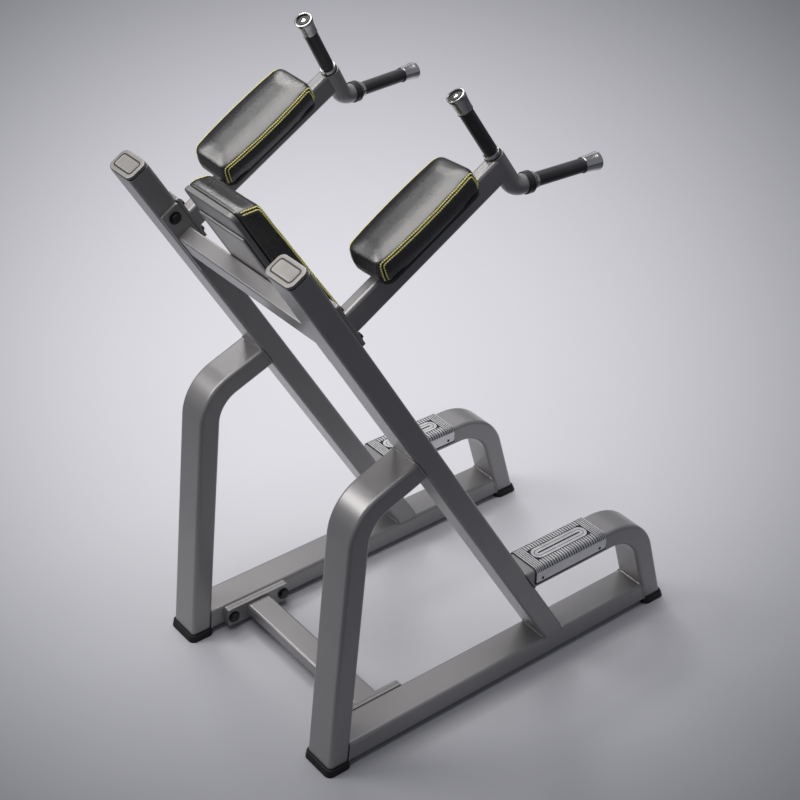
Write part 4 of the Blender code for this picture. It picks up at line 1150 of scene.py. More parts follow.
@dataclass
class StepTread:
    """A grooved metal tread over the step tube."""

    rear_at: float = 0.637
    length: float = 0.241
    top: float = 0.0045
    wall: float = 0.003
    skirt: float = 0.043
    groove: float = 0.0018
    sinking: float = 0.0003
    fins: int = 22
    fin_length: float = 0.024
    fin_drop: float = 0.034
    ridge_share: float = 0.60
    side_rise: float = 0.0006
    rib: float = 0.0080
    loops: tuple[float, ...] = (1.0, 0.52)
    loop_margin: float = 0.0028
    loop_gap: float = 0.003
    loop_round: float = 0.98
    rib_share: float = 0.78
    end_ridges: int = 5
    end_pitch: float = 0.0058
    end_margin: float = 0.003
    zone_trim: float = 0.4
    skin_wall: float = 0.0005
    skin_drop: float = 0.004
    skin_top: float = 0.007
    screw_radius: float = 0.0042
    screw_drop: float = 0.030
    screw_ends: float = 0.023

    def arch(self, section: TubeSection, length: float, rise: float, wall: float,
             drop: float) -> Form:
        """Return an arch over the step tube, from y = 0 forward along -Y.

        Args:
            section: The step tube's section.
            length: How long the arch is.
            rise: How far it stands above the floor of the grooves.
            wall: Its thickness.
            drop: How far its legs reach down from the tube's top.

        Returns:
            The arch.
        """
        half = section.width / 2 + GAP + self.wall
        top = self.top + GAP - self.groove + rise
        size = (2 * (half + rise), 2 * (self.skirt + top), section.corner + self.wall + rise)
        form = band(size, wall, 0.0, length).moved(STAND)
        form.trim(UP * (self.skirt - drop), -UP)
        narrow = (half + min(rise, self.side_rise)) / (half + rise)
        place = shift(0.0, 0.0, -self.skirt) @ Matrix.Diagonal((narrow, 1.0, 1.0, 1.0))
        return form.moved(place).turn_out()

    def ridges(self, section: TubeSection) -> Form:
        """Return the ridges: arches at the ends, combs along the sides, loops in the middle.

        Args:
            section: The section of the frame's tube.

        Returns:
            The ridges.
        """
        form = Form()
        sunk = self.groove + self.sinking
        thick = self.end_pitch * self.ridge_share
        arch = self.arch(section, thick, self.groove, sunk, self.fin_drop)
        for index in range(self.end_ridges):
            inset = self.end_margin + index * self.end_pitch
            for at in (inset - thick / 2, self.length - inset - thick / 2):
                form.add(arch, shift(0.0, -at, 0.0))
        zone = self.end_margin + (self.end_ridges - self.zone_trim) * self.end_pitch
        pitch = (self.length - 2 * zone) / self.fins
        thick = pitch * self.ridge_share
        inner = section.width / 2 - self.fin_length
        fin = self.arch(section, thick, self.groove, sunk, self.fin_drop)
        fin.trim(Vector((inner, 0.0, 0.0)), Vector((-1.0, 0.0, 0.0)))
        for index in range(self.fins):
            place = shift(0.0, thick / 2 - zone - pitch * (index + 0.5), 0.0)
            form.add(fin, place).add(fin, place @ MIRROR, flip=True)
        skin = self.arch(section, self.length - 2 * self.end_margin, self.sinking,
                         self.skin_wall, self.fin_drop + self.skin_drop)
        form.add(skin.trim(UP * -self.skin_top, UP), shift(0.0, -self.end_margin, 0.0))
        middle = inner - self.loop_margin
        for share in self.loops:
            half = middle * share
            length = self.length - 2 * zone - 2 * (middle - half) - self.loop_gap
            ring = band((2 * half, length, self.loop_round * half),
                        min(self.rib, self.rib_share * half), 0.0, sunk)
            form.add(ring, shift(0.0, -self.length / 2, self.top + GAP - sunk))
        return form

    def screws(self, section: TubeSection) -> Form:
        """Return the screws near each end of both skirts.

        Args:
            section: The section of the frame's tube.

        Returns:
            The screws.
        """
        radius = self.screw_radius
        head = Form().lathe([
            (0.0, 0.0), (radius, 0.0), (radius, 0.0006), (radius * 0.75, 0.0014),
            (radius * 0.42, 0.0017), (radius * 0.40, 0.0008), (0.0, 0.0008),
        ], 20)
        form = Form()
        out = section.width / 2 + GAP + self.wall + 0.0002
        for sign in (1.0, -1.0):
            for at in (self.screw_ends, self.length - self.screw_ends):
                form.add(head, shift(sign * out, -at, -self.screw_drop) @ facing(sign))
        return form

    def build(self, one: SideFrame) -> None:
        """Build the tread and its screws on one side frame.

        Args:
            one: The side frame.
        """
        place = Matrix.Translation(spot(one.across, self.rear_at, one.step_height))
        node = f"tread_{one.side.label}"
        # The plate between the ridges is dark aluminium: painted shade in the grooves.
        plain = self.arch(one.section, self.length, 0.0, self.wall - GAP, self.skirt)
        plain.stand_in(node, "plate", GROOVE_SHADED_ALUMINIUM, place)
        self.ridges(one.section).piece(f"{node}_ridges", BARE_ALUMINIUM, place)
        self.screws(one.section).piece(f"tread_screws_{one.side.label}", BLACK_STEEL, place)


@dataclass
class Mast:
    """The frame that both uprights share, leaning back from the rails."""

    frames: list[SideFrame]

    def place(self) -> Matrix:
        """Return the mast's place: local -Y is forward of the uprights and Z runs up them.

        Returns:
            The place.
        """
        one = self.frames[0]
        lean = Matrix.Rotation(-math.radians(one.upright_lean), 4, "X")
        return Matrix.Translation(one.foot_point()) @ lean

    def seat(self, x: float, y: float, z: float) -> Matrix:
        """Return a place on the mast."""
        return self.place() @ shift(x, y, z)

    def inner(self) -> float:
        """Return the X of the left upright's inner face."""
        return self.frames[0].offset - self.frames[0].section.width / 2


@dataclass
class UprightCaps:
    """Silver plug caps with a raised panel, on top of the uprights, with black bands that paint
    the shade in the panel's groove and under the cap.
    """

    thickness: float = 0.010
    corner: float = 0.0160
    border: float = 0.0095
    groove: float = 0.0014
    breadth: float = 0.0036
    reveal: float = 0.0024

    def ring(self, section: TubeSection, inset: float) -> Triple:
        """Return the width, depth and corner radius at an inset from the cap's edge."""
        corner = max(0.003, self.corner - 0.7 * inset)
        return (section.width - 2 * inset, section.depth - 2 * inset, corner)

    def levels(self, section: TubeSection) -> list[tuple[float, float, float, Vector]]:
        """Return the cap's levels from its seat up to the middle of its panel.

        Args:
            section: The section of the frame's tube.

        Returns:
            Width, depth, corner radius and place of each level.
        """
        top, rim, panel = self.thickness, self.border, self.border + self.breadth
        steps = (
            (0.0042, 0.0), (0.0042, self.reveal), (0.0006, self.reveal + 0.0002),
            (0.0, self.reveal + 0.0010), (0.0, top - 0.0024), (0.0008, top - 0.0008),
            (0.0026, top), (rim - 0.0002, top), (rim, top - 0.0002), (rim, top - self.groove),
            (panel, top - self.groove), (panel, top - 0.0002), (panel + 0.0002, top),
            (panel + 0.0020, top), (panel + 0.0026, top - 0.0004),
            (panel + 0.0040, top - 0.0004),
        )
        return [(*self.ring(section, inset), UP * level) for inset, level in steps]

    def build(self, mast: Mast) -> None:
        """Build both caps.

        Args:
            mast: The mast.
        """
        low = self.thickness - self.groove + 0.0001
        for one in mast.frames:
            node = f"upright_cap_{one.side.label}"
            seat = mast.seat(one.across, 0.0, one.upright_length + GAP)
            Form().loft(self.levels(one.section)).stand_in(node, "plug", SILVER_CAP, seat)
            # Black bands paint the shade in the panel's groove and in the reveal under the cap.
            painted_shade_bands = band(self.ring(one.section, self.border + 0.0001), self.breadth - 0.0002,
                         low, low + 0.0005)
            painted_shade_bands.add(band(self.ring(one.section, 0.0014), 0.0026, 0.0002, self.reveal),
                      Matrix())
            painted_shade_bands.piece(f"{node}_seals", BLACK_PLASTIC, seat)


@dataclass
class LowerCross:
    """The lower cross tube with its end plates, bolted between the rails."""

    at: float = 0.191
    section: TubeSection = field(default_factory=lambda: TubeSection(0.033, 0.0725, 0.008))
    top: float = 0.061
    plate_size: Triple = (0.054, 0.193, 0.010)
    spacing: float = 0.158
    bolt_radius: float = 0.013

    def build(self, mast: Mast) -> None:
        """Build the cross tube, the plates and the bolts.

        Args:
            mast: The mast.
        """
        rail = mast.frames[0]
        plate_face = mast.inner() - GAP - self.plate_size[2]
        flange_face = plate_face - GAP - self.plate_size[2]
        place = Matrix.Translation(spot(0.0, self.at, self.top - self.section.width / 2))
        bar = self.section.bar(flange_face - GAP)
        bar.stand_in("lower_cross_tube", "bar", FRAME_PAINT, place @ facing(1.0))
        height = rail.rail_low + rail.section.depth / 2 - GAP
        for one in mast.frames:
            sign, label = one.side.value, one.side.label
            for name, face_at in (("rail_plate", plate_face), ("cross_flange", flange_face)):
                seat = Matrix.Translation(spot(sign * face_at, self.at, height)) @ facing(sign)
                plate(*self.plate_size).stand_in(f"{name}_{label}", "steel", FRAME_PAINT, seat)
            for end, along in (("rear", -1.0), ("front", 1.0)):
                where = spot(sign * (flange_face - GAP), self.at + along * self.spacing / 2,
                             height)
                bolt(self.bolt_radius).stand_in(f"lower_bolt_{end}_{label}", "head", BLACK_STEEL,
                                                Matrix.Translation(where) @ facing(-sign))


@dataclass
class UpperBeam:
    """The upper crossbeam with its end flanges, bolted between the uprights."""

    at: float = 1.2787
    setback: float = 0.0036
    section: TubeSection = field(default_factory=lambda: TubeSection(0.062, 0.040, 0.004))
    flange_at: float = 1.2847
    flange_size: Triple = (0.196, 0.052, 0.008)
    spacing: float = 0.144
    bolt_radius: float = 0.012

    def build(self, mast: Mast) -> None:
        """Build the beam, its flanges and their bolts.

        Args:
            mast: The mast.
        """
        face_at = mast.inner() - GAP - self.flange_size[2]
        place = mast.seat(0.0, self.setback, self.at)
        bar = self.section.bar(face_at - GAP)
        bar.stand_in("upper_crossbeam", "bar", FRAME_PAINT, place @ facing(1.0))
        for one in mast.frames:
            sign, label = one.side.value, one.side.label
            seat = mast.seat(sign * face_at, 0.0, self.flange_at) @ facing(sign)
            plate(*self.flange_size).stand_in(f"beam_flange_{label}", "steel", FRAME_PAINT, seat)
            for end, along in (("lower", -1.0), ("upper", 1.0)):
                seat = mast.seat(sign * (face_at - GAP), 0.0,
                                 self.flange_at + along * self.spacing / 2) @ facing(-sign)
                bolt(self.bolt_radius).stand_in(f"beam_bolt_{end}_{label}", "head", BLACK_STEEL,
                                                seat)


def vertex_rows(mesh: bpy.types.Mesh, value: str) -> np.ndarray:
    """Return a value of each of a mesh's vertices, as rows of three.

    Args:
        mesh: The mesh.
        value: The value's name.

    Returns:
        The rows.
    """
    flat = np.empty(3 * len(mesh.vertices))
    mesh.vertices.foreach_get(value, flat)
    return flat.reshape(-1, 3)


def evened_out(mesh: bpy.types.Mesh, values: np.ndarray, rounds: int) -> np.ndarray:
    """Average a value over each vertex and its neighbours, several times.

    Args:
        mesh: The mesh whose edges join the neighbours.
        values: One value for each vertex.
        rounds: How many times.

    Returns:
        The smoother values.
    """
    ends = np.empty(2 * len(mesh.edges), dtype=np.int64)
    mesh.edges.foreach_get("vertices", ends)
    first, second = ends.reshape(-1, 2).T
    count = np.maximum(np.bincount(ends, minlength=len(values)), 1)
    for _ in range(rounds):
        total = np.bincount(first, weights=values[second], minlength=len(values))
        total += np.bincount(second, weights=values[first], minlength=len(values))
        values = (values + total / count) / 2
    return values


def search_tree(points: list[Vector]) -> KDTree:
    """Return a search tree over points.

    Args:
        points: The points.

    Returns:
        The tree.
    """
    tree = KDTree(len(points))
    for index, point in enumerate(points):
        tree.insert(point, index)
    tree.balance()
    return tree


@dataclass(frozen=True)
class Cloth:
    """How stiff a cushion's cover is while it is blown up."""

    quality: int = 5
    mass: float = 0.25
    tension_stiffness: float = 30.0
    compression_stiffness: float = 30.0
    bending_stiffness: float = 2.0
    use_pressure: bool = True
    uniform_pressure_force: float = 4.0
    vertex_group_mass: str = "held"


@dataclass
class Cushion:
    """An upholstered pad: a top strip that runs over both ends, and two stitched side panels."""

    node: str
    place: Matrix
    width: float
    length: float
    sides: tuple[float, float]
    corner: float
    bow: float
    rake: float
    outline_step: float = 0.002
    voxel: float = 0.0045
    shrink: float = 0.0022
    held: tuple[float, float] = (0.35, 0.001)
    swell: float = 0.0026
    cloth: Cloth = Cloth()
    frames: int = 20
    relax_rounds: int = 24
    row_gap: float = 0.0038
    stitch: float = 0.0054
    pitch: float = 0.0058
    thread: float = 0.0018
    thread_lift: float = 0.35
    crown_rise: float = 0.3
    turn_radius: float = 0.010
    seam_turn: float = 52.0
    seam_low: float = 0.004
    seam_spare: float = 0.012
    seam_step: float = 0.0015
    seam_rise: float = 0.0
    seam_zone: float = 0.007
    seam_reach: float = 0.012
    seam_dips: tuple[tuple[float, float], ...] = ((0.0024, 0.0016), (0.0008, 0.0055))
    base_rim: float = 0.0015

    def outline(self) -> list[Vector]:
        """Return the pad's outline, round from the middle of its +X side.

        Returns:
            The outline's points.
        """
        half_x, half_y = self.width / 2, self.length / 2
        points = []
        for quarter, (right, up) in enumerate(((1, 1), (-1, 1), (-1, -1), (1, -1))):
            middle = Vector((right * (half_x - self.corner), up * (half_y - self.corner), 0.0))
            for step in range(CORNER_STEPS + 1):
                angle = math.radians(90.0 * (quarter + step / CORNER_STEPS))
                arc = Vector((math.cos(angle), math.sin(angle), 0.0))
                points.append(middle + self.corner * arc)
        dense = resample(points, self.outline_step)
        for point in dense:
            share = math.cos(math.pi * point.y / self.length)
            point.x += self.bow * share * point.x / half_x
        return dense

    def lifted(self, point: Vector, level: float) -> Vector:
        """Return a surface point near the outline.

        Args:
            point: A point of the outline.
            level: Height above the top seam. Above 0 it moves in over the crown instead.

        Returns:
            The point in the pad's frame.
        """
        along = point.y / self.length + 0.5
        side = self.sides[0] + (self.sides[1] - self.sides[0]) * along
        share = max(0.0, min(1.0, 1.0 + level / side))
        moved = Vector((point.x, point.y - self.rake * share * along, side + level))
        if level > 0.0:
            inward = Vector((-point.x / (self.width / 2), 0.0, 0.0))
            corner_y = self.length / 2 - self.corner
            if abs(point.y) > corner_y:
                inward.y = -math.copysign((abs(point.y) - corner_y) / self.corner, point.y)
            moved = moved + inward.normalized() * level
            moved.z = side + self.crown_rise * level
        return moved

    def panel_track(self, sign: float, offset: float) -> list[Vector]:
        """Return a line round one side panel: up one end, along the top and down the other.

        Args:
            sign: Which side panel, +1 or -1 along X.
            offset: How far outside the panel's seam the line runs.

        Returns:
            The line's points in the pad's frame.
        """
        turn = math.cos(math.radians(self.seam_turn))
        bend_y = self.length / 2 - self.corner * (1.0 - turn)
        run = [point for point in self.outline()
               if point.x * sign > 0 and abs(point.y) <= bend_y + self.seam_spare]
        run.sort(key=lambda point: point.y)
        lengths = [0.0]
        for here, after in zip(run, run[1:]):
            lengths.append(lengths[-1] + (after - here).length)
        start = next(d for p, d in zip(run, lengths) if p.y >= -bend_y)
        end = next(d for p, d in zip(reversed(run), reversed(lengths)) if p.y <= bend_y)
        radius = self.turn_radius + offset
        low = self.seam_low - min(self.sides)
        flat = [Vector((start - offset, low, 0.0))]
        for middle, first in ((start + self.turn_radius, 180.0), (end - self.turn_radius, 90.0)):
            for step in range(CORNER_STEPS + 1):
                angle = math.radians(first - 90.0 * step / CORNER_STEPS)
                flat.append(Vector((middle + radius * math.cos(angle),
                                    radius * math.sin(angle) - self.turn_radius, 0.0)))
        flat.append(Vector((end + offset, low, 0.0)))
        return [self.lifted(along_line(run, lengths, point.x), point.y + self.seam_rise)
                for point in resample(flat, self.seam_step, closed=False)]

    def start_mesh(self) -> bpy.types.Mesh:
        """Return the CAD cushion's shape in the pad's own frame, welded and a little smaller.

        Returns:
            The start shape.
        """
        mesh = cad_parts[self.node].data.copy()
        mesh.transform(self.place.inverted())
        bm = bmesh.new()
        bm.from_mesh(mesh)
        bmesh.ops.remove_doubles(bm, verts=bm.verts[:], dist=1e-5)
        for vert in bm.verts:
            vert.co.x *= 1.0 - 2 * self.shrink / self.width
            vert.co.y *= 1.0 - 2 * self.shrink / self.length
            vert.co.z = max(0.0, vert.co.z * (1.0 - self.shrink / max(self.sides)))
        bm.to_mesh(mesh)
        bm.free()
        return mesh

    def work_object(self) -> bpy.types.Object:
        """Return a working object with the start shape, rebuilt from small even faces.

        Returns:
            The working object.
        """
        item = show(f"{self.node}_work", self.start_mesh())
        change = item.modifiers.new("voxels", "REMESH")
        change.mode = "VOXEL"
        change.voxel_size = self.voxel
        self.bake(item)
        return item

    def bake(self, item: bpy.types.Object) -> None:
        """Apply an object's modifiers to its mesh.

        Args:
            item: The working object.
        """
        bpy.context.view_layer.update()
        graph = bpy.context.evaluated_depsgraph_get()
        made = bpy.data.meshes.new_from_object(item.evaluated_get(graph))
        item.modifiers.clear()
        item.data = made

    def inflate(self, item: bpy.types.Object) -> None:
        """Blow the cushion up a little as cloth, held at its base, and cap the motion.

        Args:
            item: The working object.
        """
        rest = vertex_rows(item.data, "co")
        held = item.vertex_groups.new(name=self.cloth.vertex_group_mass)
        top = self.held[0] * self.voxel + self.held[1]
        low = [index for index, point in enumerate(rest) if point[2] < top]
        held.add(low, 1.0, "REPLACE")
        change = item.modifiers.new("cloth", "CLOTH")
        for name, value in vars(self.cloth).items():
            setattr(change.settings, name, value)
        change.settings.effector_weights.gravity = 0.0
        change.point_cache.frame_start = 1
        change.point_cache.frame_end = self.frames
        scene = bpy.context.scene
        for number in range(1, self.frames + 1):
            scene.frame_set(number)
        self.bake(item)
        scene.frame_set(1)
        outward = vertex_rows(item.data, "normal")
        motion = ((vertex_rows(item.data, "co") - rest) * outward).sum(axis=1)
        swelling = evened_out(item.data, np.clip(motion, 0.0, self.swell), self.relax_rounds)
        swelling[low] = 0.0
        item.data.vertices.foreach_set("co", (rest + outward * swelling[:, None]).ravel())

    def smooth_out(self, item: bpy.types.Object) -> None:
        """Subdivide the working object once and apply it.

        Args:
            item: The working object.
        """
        change = item.modifiers.new("smooth", "SUBSURF")
        change.levels = change.render_levels = 1
        self.bake(item)

    def sew(self, item: bpy.types.Object) -> None:
        """Press the seams into the working object, where its faces are made smaller first.

        Args:
            item: The working object.
        """
        bm = bmesh.new()
        bm.from_mesh(item.data)
        skin = BVHTree.FromBMesh(bm)
        seams = search_tree([skin.find_nearest(point)[0] for sign in (1.0, -1.0)
                             for point in self.panel_track(sign, 0.0)])
        close = [edge for edge in bm.edges
                 if max(seams.find(vert.co)[2] for vert in edge.verts) < self.seam_zone]
        bmesh.ops.subdivide_edges(bm, edges=close, cuts=1, use_grid_fill=True, smooth=0.0)
        bm.normal_update()
        for vert in bm.verts:
            distance = seams.find(vert.co)[2]
            if vert.co.z >= self.base_rim and distance < self.seam_reach:
                dip = sum(depth * math.exp(-((distance / reach) ** 2))
                          for depth, reach in self.seam_dips)
                vert.co -= vert.normal * dip
        bm.to_mesh(item.data)
        bm.free()

    def stitches(self, item: bpy.types.Object) -> Form:
        """Return the two rows of topstitching round each side panel.

        Args:
            item: The working object.

        Returns:
            The stitches.
        """
        skin = BVHTree.FromObject(item, bpy.context.evaluated_depsgraph_get())
        one, form = Form(), Form()
        bmesh.ops.create_uvsphere(
            one.bm, u_segments=6, v_segments=5, radius=1.0,
            matrix=Matrix.Diagonal((self.thread, self.thread, self.stitch / 2, 1.0)),
        )
        for sign in (1.0, -1.0):
            for offset in (self.row_gap, -self.row_gap):
                laid = [skin.find_nearest(point)[0] for point in self.panel_track(sign, offset)]
                track = resample(laid, self.pitch, closed=False)
                for here, after in zip(track, track[1:]):
                    place, outward = skin.find_nearest((here + after) / 2)[:2]
                    turn = UP.rotation_difference((after - here).normalized())
                    seat = Matrix.Translation(place + outward * self.thread * self.thread_lift)
                    form.add(one, seat @ turn.to_matrix().to_4x4())
        return form

    def build(self) -> None:
        """Build the cushion and its stitching."""
        work = self.work_object()
        self.inflate(work)
        self.smooth_out(work)
        self.sew(work)
        stitching = self.stitches(work)
        form = Form()
        form.bm.from_mesh(work.data)
        bpy.data.objects.remove(work)
        made = form.piece(f"{self.node}_cushion", BLACK_LEATHER, self.place, (self.node,),
                          sharp=math.pi)
        made.modifiers.clear()
        stitching.piece(f"{self.node}_stitching", YELLOW_THREAD, self.place)


@dataclass
class FramedBoard:
    """A board whose back has a groove near its edge, darkened by a black band as painted shade,
    with its back on z = 0.
    """

    name: str
    node: str
    size: tuple[float, float, float, float]
    finish: Finish
    rim: float = 0.0056
    deep: float = 0.0010
    breadth: float = 0.0056

    def ring(self, inset: float) -> Triple:
        """Return the width, length and corner radius at an inset from the board's edge."""
        width, length, _, corner = self.size
        return (width - 2 * inset, length - 2 * inset, max(0.0045, corner - 0.8 * inset))

    def build(self, seat: Matrix) -> None:
        """Build the board and its groove, with the groove's painted shade, on a seat.

        Args:
            seat: Where it goes.
        """
        thick, rim, deep, far = self.size[2], self.rim, self.deep, self.rim + self.breadth
        steps = (
            (0.0012, thick), (0.0, thick - 0.0012), (0.0, 0.0016), (0.0005, 0.0005),
            (0.0014, 0.0), (rim - 0.0002, 0.0), (rim, 0.0002), (rim, deep), (far, deep),
            (far, 0.0002), (far + 0.0002, 0.0),
        )
        form = Form().loft([(*self.ring(inset), UP * level) for inset, level in steps])
        form.piece(f"{self.name}_panel", self.finish, seat, (self.node,))
        # A black band laid in the groove paints its shade.
        line = band(self.ring(rim + 0.0001), self.breadth - 0.0002, deep - 0.0006, deep - 0.0001)
        line.piece(f"{self.name}_groove", BLACK_PLASTIC, seat)


@dataclass
class BackRest:
    """The back cushion with its board, on the plate in front of the beam."""

    beam: UpperBeam
    bottom: float = 1.0814
    length: float = 0.452
    width: float = 0.206
    sides: tuple[float, float] = (0.067, 0.047)
    corner: float = 0.020
    bow: float = 0.002
    rake: float = 0.022
    board_thickness: float = 0.012
    inset: float = 0.006
    support_size: Triple = (0.176, 0.285, 0.005)
    support_corner: float = 0.006
    support_bottom: float = 1.1714
    turn_radius: float = 0.008
    seam_rise: float = 0.008

    def build(self, mast: Mast) -> None:
        """Build the support plate, the board and the cushion.

        Args:
            mast: The mast.
        """
        plate_back = self.beam.section.depth / 2 - self.beam.setback + GAP
        board_back = plate_back + self.support_size[2] + GAP
        pad_back = board_back + self.board_thickness + GAP
        middle = self.support_bottom + self.support_size[1] / 2
        size = (*self.support_size, self.support_corner)
        FramedBoard("back_support", "back_support_plate", size, FRAME_PAINT).build(
            mast.seat(0.0, -plate_back, middle) @ STAND)
        middle = self.bottom + self.length / 2
        size = (self.width - 2 * self.inset, self.length - 2 * self.inset,
                self.board_thickness, self.corner)
        FramedBoard("back_pad", "back_pad_board", size, GREY_BOARD).build(
            mast.seat(0.0, -board_back, middle) @ STAND)
        Cushion(
            "back_pad", mast.seat(0.0, -pad_back, middle) @ STAND, self.width, self.length,
            self.sides, self.corner, self.bow, self.rake, turn_radius=self.turn_radius,
            seam_rise=self.seam_rise,
        ).build()


@dataclass
class Arm:
    """An arm: the flange on the upright, the tube, and the pad on its board."""

    one: SideFrame
    offset: float = 0.3025
    at: float = 1.2886
    roll: float = 5.5
    section: TubeSection = field(default_factory=lambda: TubeSection(0.036, 0.060, 0.009))
    flange_offset: float = 0.305
    flange_rise: float = 0.0248
    flange_size: Triple = (0.084, 0.136, 0.008)
    bolt_radius: float = 0.008
    bolt_rows: tuple[tuple[float, float], ...] = ((0.048, 0.040), (0.060, -0.047))
    reach: float = 0.5138
    end_lap: float = 0.0075
    bead: float = 0.0024
    pad_inward: float = 0.002
    pad_rear: float = 0.1339
    pad_length: float = 0.304
    pad_width: float = 0.130
    pad_side: float = 0.0497
    pad_corner: float = 0.022
    pad_bow: float = 0.0075
    pad_rake: float = 0.012
    board_inset: tuple[float, float] = (0.008, 0.020)
    board_thickness: float = 0.009
    board_edge: float = 0.0015

    def place(self, mast: Mast) -> Matrix:
        """Return the arm's frame: -Y runs out along the arm.

        Args:
            mast: The mast.

        Returns:
            The arm's frame.
        """
        sign = self.one.side.value
        roll = Matrix.Rotation(-sign * math.radians(self.roll), 4, "Y")
        return mast.seat(sign * self.offset, 0.0, self.at) @ roll

    def build_flange(self, mast: Mast, front: float) -> None:
        """Build the flange and its bolts, in front of the mast by this much.

        Args:
            mast: The mast.
            front: How far in front of the mast the flange starts.
        """
        node = f"arm_flange_{self.one.side.label}"
        seat = mast.seat(self.one.side.value * self.flange_offset, -front,
                         self.at + self.flange_rise) @ STAND
        plate(*self.flange_size).stand_in(node, "steel", FRAME_PAINT, seat)
        heads = Form()
        for spread, rise in self.bolt_rows:
            for across in (-spread / 2, spread / 2):
                heads.add(bolt(self.bolt_radius), shift(across, rise, self.flange_size[2]))
        heads.piece(f"{node}_bolts", BLACK_STEEL, seat)

    def build_pad(self, arm: Matrix) -> None:
        """Build the board and the cushion in the arm's frame.

        Args:
            arm: The arm's frame.
        """
        label = self.one.side.label
        base = arm @ shift(-self.one.side.value * self.pad_inward,
                           -self.pad_rear - self.pad_length / 2, self.section.depth / 2 + GAP)
        panel = plate(self.pad_width - self.board_inset[0], self.pad_length - self.board_inset[1],
                      self.board_thickness, self.pad_corner, self.board_edge)
        panel.stand_in(f"arm_pad_board_{label}", "panel", BLACK_BOARD, base)
        Cushion(
            f"arm_pad_{label}", base @ shift(0.0, 0.0, self.board_thickness + GAP),
            self.pad_width, self.pad_length, (self.pad_side, self.pad_side), self.pad_corner,
            self.pad_bow, self.pad_rake,
        ).build()

    def build(self, mast: Mast) -> None:
        """Build the flange with its bolts, the tube, the board and the cushion.

        Args:
            mast: The mast.
        """
        label, arm = self.one.side.label, self.place(mast)
        front = self.one.section.depth / 2 + GAP
        self.build_flange(mast, front)
        start = Vector((0.0, -front - self.flange_size[2] - GAP, 0.0))
        tube = self.section.run([start, Vector((0.0, self.end_lap - self.reach, 0.0))])
        outline = tube.turn_out().outline_on(start, Vector((0.0, 1.0, 0.0)))
        tube.stand_in(f"arm_tube_{label}", "bar", FRAME_PAINT, arm)
        weld_bead(f"arm_weld_{label}", outline, self.bead, arm)
        self.build_pad(arm)


